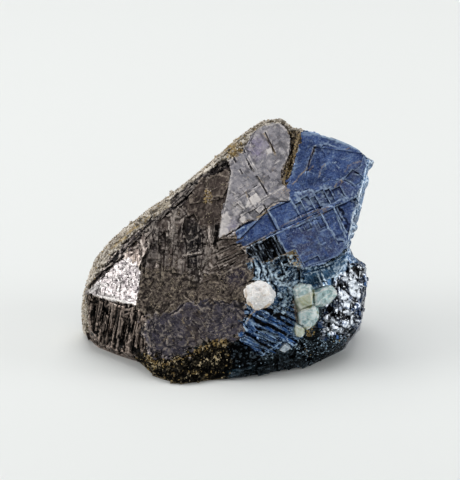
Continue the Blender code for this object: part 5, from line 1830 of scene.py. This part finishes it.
# A zone, how many plates, their lengths along u, v and n in millimetres, and their tilt in degrees.
PLATES = (
    PlateSet(Zone.BLUE, 240, (0.8, 4.0), (0.5, 2.4), (0.03, 0.12), 1.2),
    PlateSet(Zone.GREY, 120, (0.8, 3.2), (0.6, 2.6), (0.03, 0.10), 1.0),
    PlateSet(Zone.LAMELLAE, 110, (1.5, 6.0), (0.3, 0.9), (0.08, 0.26), 2.0),
    PlateSet(Zone.PIT, 40, (0.25, 0.6), (0.8, 3.4), (0.15, 0.5), 5.0),
    PlateSet(Zone.TEAL, 260, (0.5, 2.8), (0.25, 0.9), (0.08, 0.32), 6.0),
    PlateSet(Zone.STRIATED, 240, (0.8, 5.0), (0.2, 0.6), (0.12, 0.38), 5.0),
    PlateSet(Zone.SPARKLE, 120, (0.8, 3.6), (0.5, 2.0), (0.15, 0.6), 12.0),
    PlateSet(Zone.FOOT, 420, (0.4, 1.8), (0.3, 1.2), (0.12, 0.45), 14.0),
    PlateSet(Zone.RIBBED, 90, (0.25, 0.6), (2.0, 8.0), (0.15, 0.45), 3.0),
    PlateSet(Zone.BROWN, 90, (0.4, 2.0), (1.0, 5.0), (0.05, 0.16), 2.0),
    PlateSet(Zone.PLAIN, 40, (0.5, 2.4), (0.6, 2.4), (0.03, 0.10), 1.2),
    PlateSet(Zone.FLECKED, 120, (0.3, 1.2), (0.5, 2.4), (0.04, 0.12), 2.0),
    PlateSet(Zone.SLATE, 80, (0.6, 3.0), (0.6, 2.4), (0.03, 0.09), 1.2),
    PlateSet(Zone.BRIGHT, 90, (0.5, 2.4), (0.4, 1.6), (0.08, 0.22), 6.0),
    PlateSet(Zone.EDGE, 120, (1.0, 3.6), (0.25, 0.7), (0.10, 0.30), 2.0),
    PlateSet(Zone.BACK, 260, (2.0, 13.0), (1.5, 8.0), (0.10, 0.45), 1.0),
)
# A zone, how many crumbs, their least and greatest size in millimetres, the shares of golden and pale
# ones, and the outline that they keep to, if any.
CRUMBS = tuple(
    CrumbSet(Zone[word.upper()], int(count), (least, most), gold, pale, within)
    for word, (count, least, most, gold, pale), within in read_table("""
rind 2600 .12 .36 .12 .4
crust 1500 .16 .55 .03 .03
crust 200 .2 .6 .35 .3 142,352 152,356 172,357 194,347 205,342 226,338 226,346 205,350 180,362 160,368
  148,366
groove 220 .12 .32 .5 .1
foot 420 .12 .36 0 .03
foot 420 .14 .45 .06 .45 292,348 297,330 318,326 346,332 352,340 330,352 305,358
foot 26 .25 .5 .9 0 306,329 314,329 314,336 307,336
sparkle 90 .12 .34 0 .3
plain 50 .2 .42 .6 .4 203,190 211,189 213,198 210,206 203,201
rind 160 .2 .45 .8 .1 222,146 238,138 246,148 240,158 228,158
blue 150 .15 .35 .4 .4 287,254 295,250 301,262 303,268 296,270 289,266
"""))


class Litter:
    """Strews joined small pieces over the stone."""

    BOX = np.array(list(product((-1, 1), repeat=3)), float)
    BOX_FACES = np.array([(0, 1, 3, 2), (4, 6, 7, 5), (0, 4, 5, 1), (2, 3, 7, 6), (1, 5, 7, 3), (0, 2, 6, 4)])
    TOP_CORNERS = slice(1, None, 2)
    # The ridge value of each side of a plate: the two that run along u get painted highlights.
    BRIGHT_SIDES = (0.0, 0.0, 0.5, 0.5, 0.0, 0.0)
    # A plate's foot goes in by SUNK millimetres. Under each of its corners the stone has to be met
    # within its height and OVERHANG, and the paint under it may vary by UNEVEN.
    SUNK = 0.45
    OVERHANG = 0.4
    UNEVEN = 0.35
    # Half a crumb's side for a size of 1, and how far it is lifted, as a share of its least side.
    CRUMB_HALF = 0.62
    CRUMB_LIFT = (-0.2, 0.35)
    # How far the corners of plates and crumbs move, as a share of their sides.
    PLATE_PLAY = 0.25
    CRUMB_PLAY = 0.7
    # The power that makes short lengths the most common.
    SHORT_BIAS = 1.8

    def __init__(self, stone: Stone, seed: int = 5) -> None:
        """Takes the stone that the pieces lie on, and makes the grid of places under a plate.

        Args:
            stone: has its relief and its marks.
            seed: another seed strews other pieces.
        """
        self.stone = stone
        self.rng = np.random.default_rng(seed)
        self.surface = BVHTree.FromPolygons(stone.raised.tolist(), stone.mesh.faces.tolist())
        across, down = np.meshgrid(np.linspace(0, 1, 5), np.linspace(0, 1, 5))
        shares = [(1 - across) * (1 - down), (1 - across) * down, across * (1 - down), across * down]
        self.shares = np.stack(shares, axis=-1).reshape(-1, 4)

    def marks_at(self, places: Array, names: tuple[str, ...] = ("dark", "stain")) -> dict[str, Array]:
        """Looks up how strongly the stone is painted at the points nearest to some places.

        Args:
            places: positions in millimetres, one a row.
            names: the marks.

        Returns:
            For each mark one strength a place.
        """
        faces = self.stone.mesh.faces[[self.surface.find_nearest(Vector(place))[2] for place in places]]
        return {name: self.stone.marks[name][faces].mean(axis=1) for name in names}

    def crosses_line(self, corners: Array) -> bool:
        """Tells whether the stone is painted unevenly under a plate with these top corners."""
        painted = sum(self.marks_at(self.shares @ corners, ("dark", "pale", "gold")).values())
        return bool(np.ptp(painted) > self.UNEVEN)

    def seated(self, corners: Array, way: Array, reach: float) -> bool:
        """Tells whether the stone lies close under each of these corners."""
        return all(self.surface.ray_cast(Vector(corner), Vector(way), reach)[0] for corner in corners)

    def spread(self, span: Span, count: int) -> Array:
        """Random lengths in a range, more of them short than long."""
        return span[0] + (span[1] - span[0]) * self.rng.random(count) ** self.SHORT_BIAS

    def turned(self, axes: Array, tilt: float) -> Array:
        """Tilts sets of axes by up to an angle about random directions.

        By Rodrigues' formula, x becomes x cos a + (k × x) sin a + k (k·x)(1 - cos a).

        Args:
            axes: three unit vectors in rows, for each piece.
            tilt: the greatest angle, in degrees.

        Returns:
            The tilted axes.
        """
        about = self.rng.normal(size=(len(axes), 1, 3))
        about /= np.linalg.norm(about, axis=2, keepdims=True)
        angle = np.radians(tilt) * self.rng.random((len(axes), 1, 1))
        along = (about * axes).sum(axis=2, keepdims=True)
        turned = axes * np.cos(angle) + np.cross(about, axes) * np.sin(angle)
        return turned + about * along * (1 - np.cos(angle))

    def plates(self, spec: PlateSet, material: bpy.types.Material) -> None:
        """Adds thin cleavage plates that lie along a crystal's axes, their feet in the stone.

        Args:
            spec: how many, how large and where.
            material: their finish.
        """
        count = spec.count * 2
        places, upright = self.stone.sample(self.rng, count, spec.zone)
        along, across, _ = LATTICES[spec.zone].axes()
        first = along - upright * (along * upright).sum(axis=1, keepdims=True)
        length = np.linalg.norm(first, axis=1, keepdims=True)
        first = np.where(length > 0.2, first / np.maximum(length, 1e-9), np.cross(upright, across))
        axes = self.turned(np.stack([first, np.cross(upright, first), upright], axis=1), spec.tilt)
        half = np.stack([self.spread(spec.along, count), self.spread(spec.across, count)], axis=1) / 2
        top = self.spread(spec.height, count)
        corners = np.repeat(self.BOX[None], count, axis=0)
        corners[:, :, :2] *= half[:, None] * (1 + self.PLATE_PLAY * (self.rng.random((count, 8, 2)) - 0.5))
        corners[:, :, 2] = np.where(corners[:, :, 2] > 0, top[:, None], -self.SUNK)
        corners = places[:, None] + corners @ axes
        kept = [
            number for number, box in enumerate(corners)
            if self.seated(box[self.TOP_CORNERS], -upright[number], top[number] + self.OVERHANG)
            and not self.crosses_line(box[self.TOP_CORNERS])
            and not (spec.zone is Zone.BACK and self.stone.in_front(box).any())][:spec.count]
        shades = {"tone": self.rng.uniform(-0.6, 0.6, len(kept)), **self.marks_at(places[kept]),
                  "ridge": np.tile(self.BRIGHT_SIDES, len(kept))}
        self.write(f"{spec.zone.name.lower()}_plates", spec.zone, corners[kept], material, shades)

    def crumbs(self, spec: CrumbSet, number: int, material: bpy.types.Material) -> None:
        """Adds small angular grains, sunk by half into the surface.

        Args:
            spec: how many, how large, where, and the shares of golden and pale ones.
            number: parts the name from that of other crumbs in the same zone.
            material: their finish.
        """
        places, upright = self.stone.sample(self.rng, spec.count, spec.zone, spec.within)
        axes = self.turned(np.repeat(np.eye(3)[None], spec.count, axis=0), 180)
        size = np.stack([self.spread(spec.size, spec.count) for _ in range(3)], axis=1)
        corners = np.repeat(self.BOX[None] * self.CRUMB_HALF, spec.count, axis=0)
        play = 1 + self.CRUMB_PLAY * (self.rng.random((spec.count, 8, 3)) - 0.5)
        corners *= size[:, None] * play
        lift = (size.min(axis=1) * self.rng.uniform(*self.CRUMB_LIFT, spec.count))[:, None]
        corners = (places + upright * lift)[:, None] + corners @ axes
        corners[:, :, 2] = np.maximum(corners[:, :, 2], 0.05)
        chance = self.rng.random(spec.count)
        gold = chance < spec.gold
        pale = ~gold & (chance < spec.gold + spec.pale)
        shades = {"gold": gold * 0.9, "pale": pale * 0.8, "tone": self.rng.uniform(-1, 0.6, spec.count),
                  **self.marks_at(places)}
        self.write(f"{spec.zone.name.lower()}_crumbs_{number}", spec.zone, corners, material, shades)

    def write(
        self, name: str, zone: Zone, corners: Array, material: bpy.types.Material, shades: dict[str, Array]
    ) -> None:
        """Writes boxes as one joined piece.

        Args:
            name: the piece's name.
            zone: the crystal that its pattern follows.
            corners: eight a box.
            material: its finish.
            shades: what the material reads, one value a box or one for each of its six faces.
        """
        points = corners.reshape(-1, 3)
        faces = (np.arange(len(corners)) * 8)[:, None, None] + self.BOX_FACES
        of_faces = {key: np.repeat(value, 6 * len(corners) // len(value)) for key, value in shades.items()}
        values = {"POINT": {"lattice": LATTICES[zone].local(points)}, "FACE": of_faces}
        Piece(name, points, faces.reshape(-1, 4), [material], values).write("galena")


@dataclass(frozen=True)
class MineralFinish:
    """How one of the grains of other minerals looks."""
    name: str
    body: Colour
    cloud: Colour
    seam: Colour
    depths: Colour
    roughness: float
    veins: float = 0.3
    transmission: float = 0.0
    index: float = 1.5
    scatter: float = 0.0
    bump: float = 0.4

    def material(self) -> bpy.types.Material:
        """Builds the material: clouds in the body, with seams where the mesh says so.

        Returns:
            The material.
        """
        made, sketch, shader = new_material(self.name)
        spot = sketch.attribute("lattice", vector=True)
        cloud = sketch.between(sketch.noise(spot, 0.45, 5.0, 0.6), 0.35, 0.65)
        colour = sketch.mix(cloud, self.body, self.cloud)
        turned = {"Vector": spot, "Rotation": (0.5, 0.3, 0.9), "Scale": (1.0, 0.25, 1.0)}
        vein = sketch.noise(sketch.add("ShaderNodeMapping", turned).outputs[0], 0.8, 3.0, 0.6)
        colour = sketch.mix(sketch.between(vein, 0.52, 0.62, 0.0, self.veins), colour, tint("f6f9f6"))
        colour = sketch.mix(sketch.between(vein, 0.46, 0.36, 0.0, self.veins), colour, self.depths)
        seams = {"stain": tint("cec896"), "dark": tint("60747a"), "gold": self.seam, "pale": tint("f0f6f3")}
        for mark, shade in seams.items():
            colour = sketch.mix(sketch.attribute(mark), colour, shade)
        # Painted highlights on the grain's ridges.
        painted_ridge_highlight = sketch.between(sketch.attribute("ridge"), 0.1, 1.0, 0.0, 0.6)
        colour = sketch.mix(painted_ridge_highlight, colour, tint("f4f4f0"))
        sketch.feed(shader, {
            "Base Color": colour, "Roughness": self.roughness, "IOR": self.index,
            "Normal": sketch.bump(self.bump, 0.0003, sketch.noise(spot, 2.4, 4.0, 0.6)),
            "Transmission Weight": self.transmission, "Subsurface Weight": self.scatter,
            "Subsurface Radius": (1.0, 0.9, 0.8), "Subsurface Scale": 0.002,
        })
        return made


@dataclass(frozen=True)
class Grain:
    """A grain of another mineral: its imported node, slot and finish, and its relief in millimetres.

    It is averaged with its neighbours rounding times over, then swollen, and its hollows are filled
    up by a share of their depth. A hollow is what lies under the average of HOLLOW_ROUNDS rounds. The
    net of cracks has cells CRACK_CELLS times as large as a lump.
    """
    node: str
    slot: str
    finish: MineralFinish
    longest_edge: float
    lumps: float
    lump_size: float
    rounding: int = 0
    swelling: float = 0.0
    filling: float = 0.0
    seams: tuple[Stroke, ...] = ()
    stains: tuple[Patch, ...] = ()
    smooth_angle: float = 30.0
    HOLLOW_ROUNDS = 60
    CRACK_DEPTH = 0.22
    CRACK_CELLS = 2.2

    def write(self) -> None:
        """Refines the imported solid, rounds it, gives it lumps and marks, and writes it."""
        rng = np.random.default_rng(9)
        mesh = TriangleMesh.of_node(self.node)
        mesh.tidy_triangles(rng, 6)
        while mesh.split(np.full(len(mesh.points), self.longest_edge)):
            mesh.tidy_triangles(rng, 3)
        mesh.points = mesh.averaged(mesh.points, self.rounding)
        normals = mesh.vertex_normals()
        hollow = ((mesh.averaged(mesh.points, self.HOLLOW_ROUNDS) - mesh.points) * normals).sum(axis=1)
        mesh.points = mesh.points + normals * (self.swelling + self.filling * np.maximum(hollow, 0))[:, None]
        points = mesh.points
        lumps = fractal(points / self.lump_size, 61, 3) - 0.5
        net = cracks(points / (self.CRACK_CELLS * self.lump_size), 67)
        height = self.lumps * (lumps - self.CRACK_DEPTH * net)
        marks = self.paint(points)
        values = {"lattice": points, "ridge": np.clip(2 * mesh.crease(), -1, 1), **marks}
        raised = points + mesh.vertex_normals() * height[:, None]
        Piece(
            f"{self.node}_grain", raised, mesh.faces, [self.finish.material()], {"POINT": values},
            smooth_angle=self.smooth_angle,
        ).write(self.slot, self.node)

    def paint(self, points: Array) -> dict[str, Array]:
        """Puts the seams and stains on the grain.

        Args:
            points: positions in millimetres, one a row.

        Returns:
            For each mark its strength at each point, from 0 to 1.
        """
        marks = {mark.value: np.zeros(len(points)) for mark in Mark}
        ragged = 1.5 * (np.stack([value_noise(points, seed) for seed in (71, 72)], axis=1) - 0.5)
        pixels = CAMERA.pixels(points) + ragged
        for mark in self.seams + self.stains:
            if isinstance(mark, Stroke):
                away = distance_to_line(pixels, mark.line)
                cover = smooth_step(-away, -mark.width - 0.7, -mark.width + 0.4)
            else:
                cover = inside(pixels, mark.outline)
            marks[mark.mark.value] = np.maximum(marks[mark.mark.value], mark.strength * cover)
        return marks


GRAINS = (
    Grain(
        "white_calcite", "calcite",
        MineralFinish("creamy_calcite", *tints("fcf6f0 dedee0 b8945c cebcac"), roughness=0.45, scatter=0.2),
        longest_edge=0.3, lumps=1.5, lump_size=1.3, rounding=4, swelling=0.2, smooth_angle=40,
        # The dark seam paints shade down the grain's right side.
        seams=strokes("""
gold .6 .7 246,301 250,306 256,309 263,309 270,304
gold .6 .45 246,290 245,297 247,302
dark 1.6 .25 272,286 274.5,294 272,303 264,308
""")),
    Grain(
        "pale_green_fluorite", "fluorite",
        MineralFinish(
            "pale_green_fluorite_glass", *tints("d2e8e6 a0c0c4 b2ac68 769496"), roughness=0.3, veins=0.6,
            transmission=0.2, index=1.434, scatter=0.4),
        longest_edge=0.34, lumps=1.0, lump_size=1.3, rounding=3, swelling=0.25, filling=0.8, smooth_angle=35,
        seams=strokes("""
gold .5 .8 313.5,290 313,298 311,306 307,309
gold .3 .6 298,298.5 304,304.5 311,308.5
gold .3 .5 302,298 308,303 311,306
gold .3 .5 293,299 300,298 307,294 313,291
dark .5 .5 301,289 304,287.5 308,288
gold .4 .6 294,312 299,311 304,309
dark .5 .45 297,315 302,311 308,309
gold .3 .6 297.5,316 300,324
gold .5 .7 303,328 311,327 317,323 319.5,315 317,311
gold .5 .7 294,326 295,333 298,338
dark .5 .35 315,300 321,303 326,306
pale .5 .8 294,288 299,284 306,283.5 312,286
pale .4 .7 296,295 303,290 311,290
pale .5 .8 316,294 322,290 330,289 335,292
pale .4 .7 318,304 324,298 331,294
pale .4 .6 322,306 330,303 336,297
pale .5 .8 299,314 307,311 315,313 319,318
pale .4 .7 300,322 307,318 313,320
pale .4 .6 304,327 310,322 314,314
pale .4 .6 297,329 300,333
"""),
        stains=patches("""
stain .5 1 293,300 313,292 312,305 304,311 296,312 292,307
stain .5 1 294,326 304,327 304,336 295,338
""")),
    Grain(
        "pale_chip", "chip",
        MineralFinish("pale_grey_chip", *tints("b2c0cc 7c8c9a 8c7850 465462"), roughness=0.4),
        longest_edge=0.3, lumps=0.3, lump_size=0.8),
)


class Studio:
    """The pale floor, the soft light and the camera."""

    FLOOR_SIZE = 14.0
    LOW_AIR = (0.292, 0.298, 0.304)
    HIGH_AIR = (0.503, 0.508, 0.513)
    # Where the lights point, and the name, the place, the side and the watts of each.
    AIM = (0.0, 0.0, 0.03)
    SOFTBOXES = (
        ("left_softbox", (-0.90, -0.08, 0.36), 0.50, 4.0),
        ("right_softbox", (0.90, -0.10, 0.22), 0.40, 3.2),
        ("top_softbox", (0.0, 0.45, 1.20), 1.1, 9.0),
    )

    def build(self) -> None:
        """Adds everything that isn't the stone."""
        self.floor()
        self.world()
        for light in self.SOFTBOXES:
            self.softbox(*light)
        CAMERA.place()
        bpy.context.scene.view_settings.view_transform = "Standard"

    def floor(self) -> None:
        """A wide level floor at the foot of the stone."""
        bpy.ops.mesh.primitive_plane_add(size=self.FLOOR_SIZE, location=(0.0, 0.0, CAD_BOX[0].z))
        floor = bpy.context.object
        floor.name = "studio_floor"
        paper, sketch, shader = new_material("pale_paper")
        colour = (*tint("e7e9e7"), 1.0)
        sketch.feed(shader, {"Base Color": colour, "Roughness": 0.9, "Specular IOR Level": 0.1})
        floor.data.materials.append(paper)

    def world(self) -> None:
        """Even light from all sides, darker towards the horizon, so that facets differ."""
        world = bpy.data.worlds.new("studio_air")
        world.use_nodes = True
        sketch = Sketch(world.node_tree)
        way = sketch.add("ShaderNodeTexCoord").outputs["Generated"]
        height = sketch.add("ShaderNodeSeparateXYZ", {0: way}).outputs["Z"]
        colour = sketch.mix(sketch.between(height, 0.0, 0.9), self.LOW_AIR, self.HIGH_AIR)
        panels = sketch.between(sketch.noise(way, 2.6, 1.0), 0.40, 0.60, 0.45, 1.5)
        grey = sketch.add("ShaderNodeCombineColor", {0: panels, 1: panels, 2: panels}).outputs[0]
        colour = sketch.mix(1.0, colour, grey, "MULTIPLY")
        sketch.feed(world.node_tree.nodes["Background"], {"Color": colour, "Strength": 1.0})
        bpy.context.scene.world = world

    def softbox(self, name: str, place: tuple[float, float, float], size: float, power: float) -> None:
        """A square light that faces the stone.

        Args:
            name: the light's name.
            place: where it stands, in metres.
            size: its side, in metres.
            power: how strong it is, in watts.
        """
        light = bpy.data.lights.new(name, "AREA")
        light.energy, light.size = power, size
        box = bpy.data.objects.new(name, light)
        box.location = place
        box.rotation_euler = (Vector(self.AIM) - Vector(place)).to_track_quat("-Z", "Y").to_euler()
        bpy.context.scene.collection.objects.link(box)


def main() -> None:
    """Builds the pieces in order."""
    logging.basicConfig(level=logging.INFO, format="%(name)s: %(message)s")
    Studio().build()
    materials = [FINISHES[zone].material() for zone in Zone]
    finish = dict(zip(Zone, materials))
    stone = Stone()
    stone.make(materials)
    litter = Litter(stone)
    for spec in PLATES:
        litter.plates(spec, finish[spec.zone])
    for number, spec in enumerate(CRUMBS):
        litter.crumbs(spec, number, finish[spec.zone])
    for grain in GRAINS:
        grain.write()


if __name__ == "__main__":
    main()
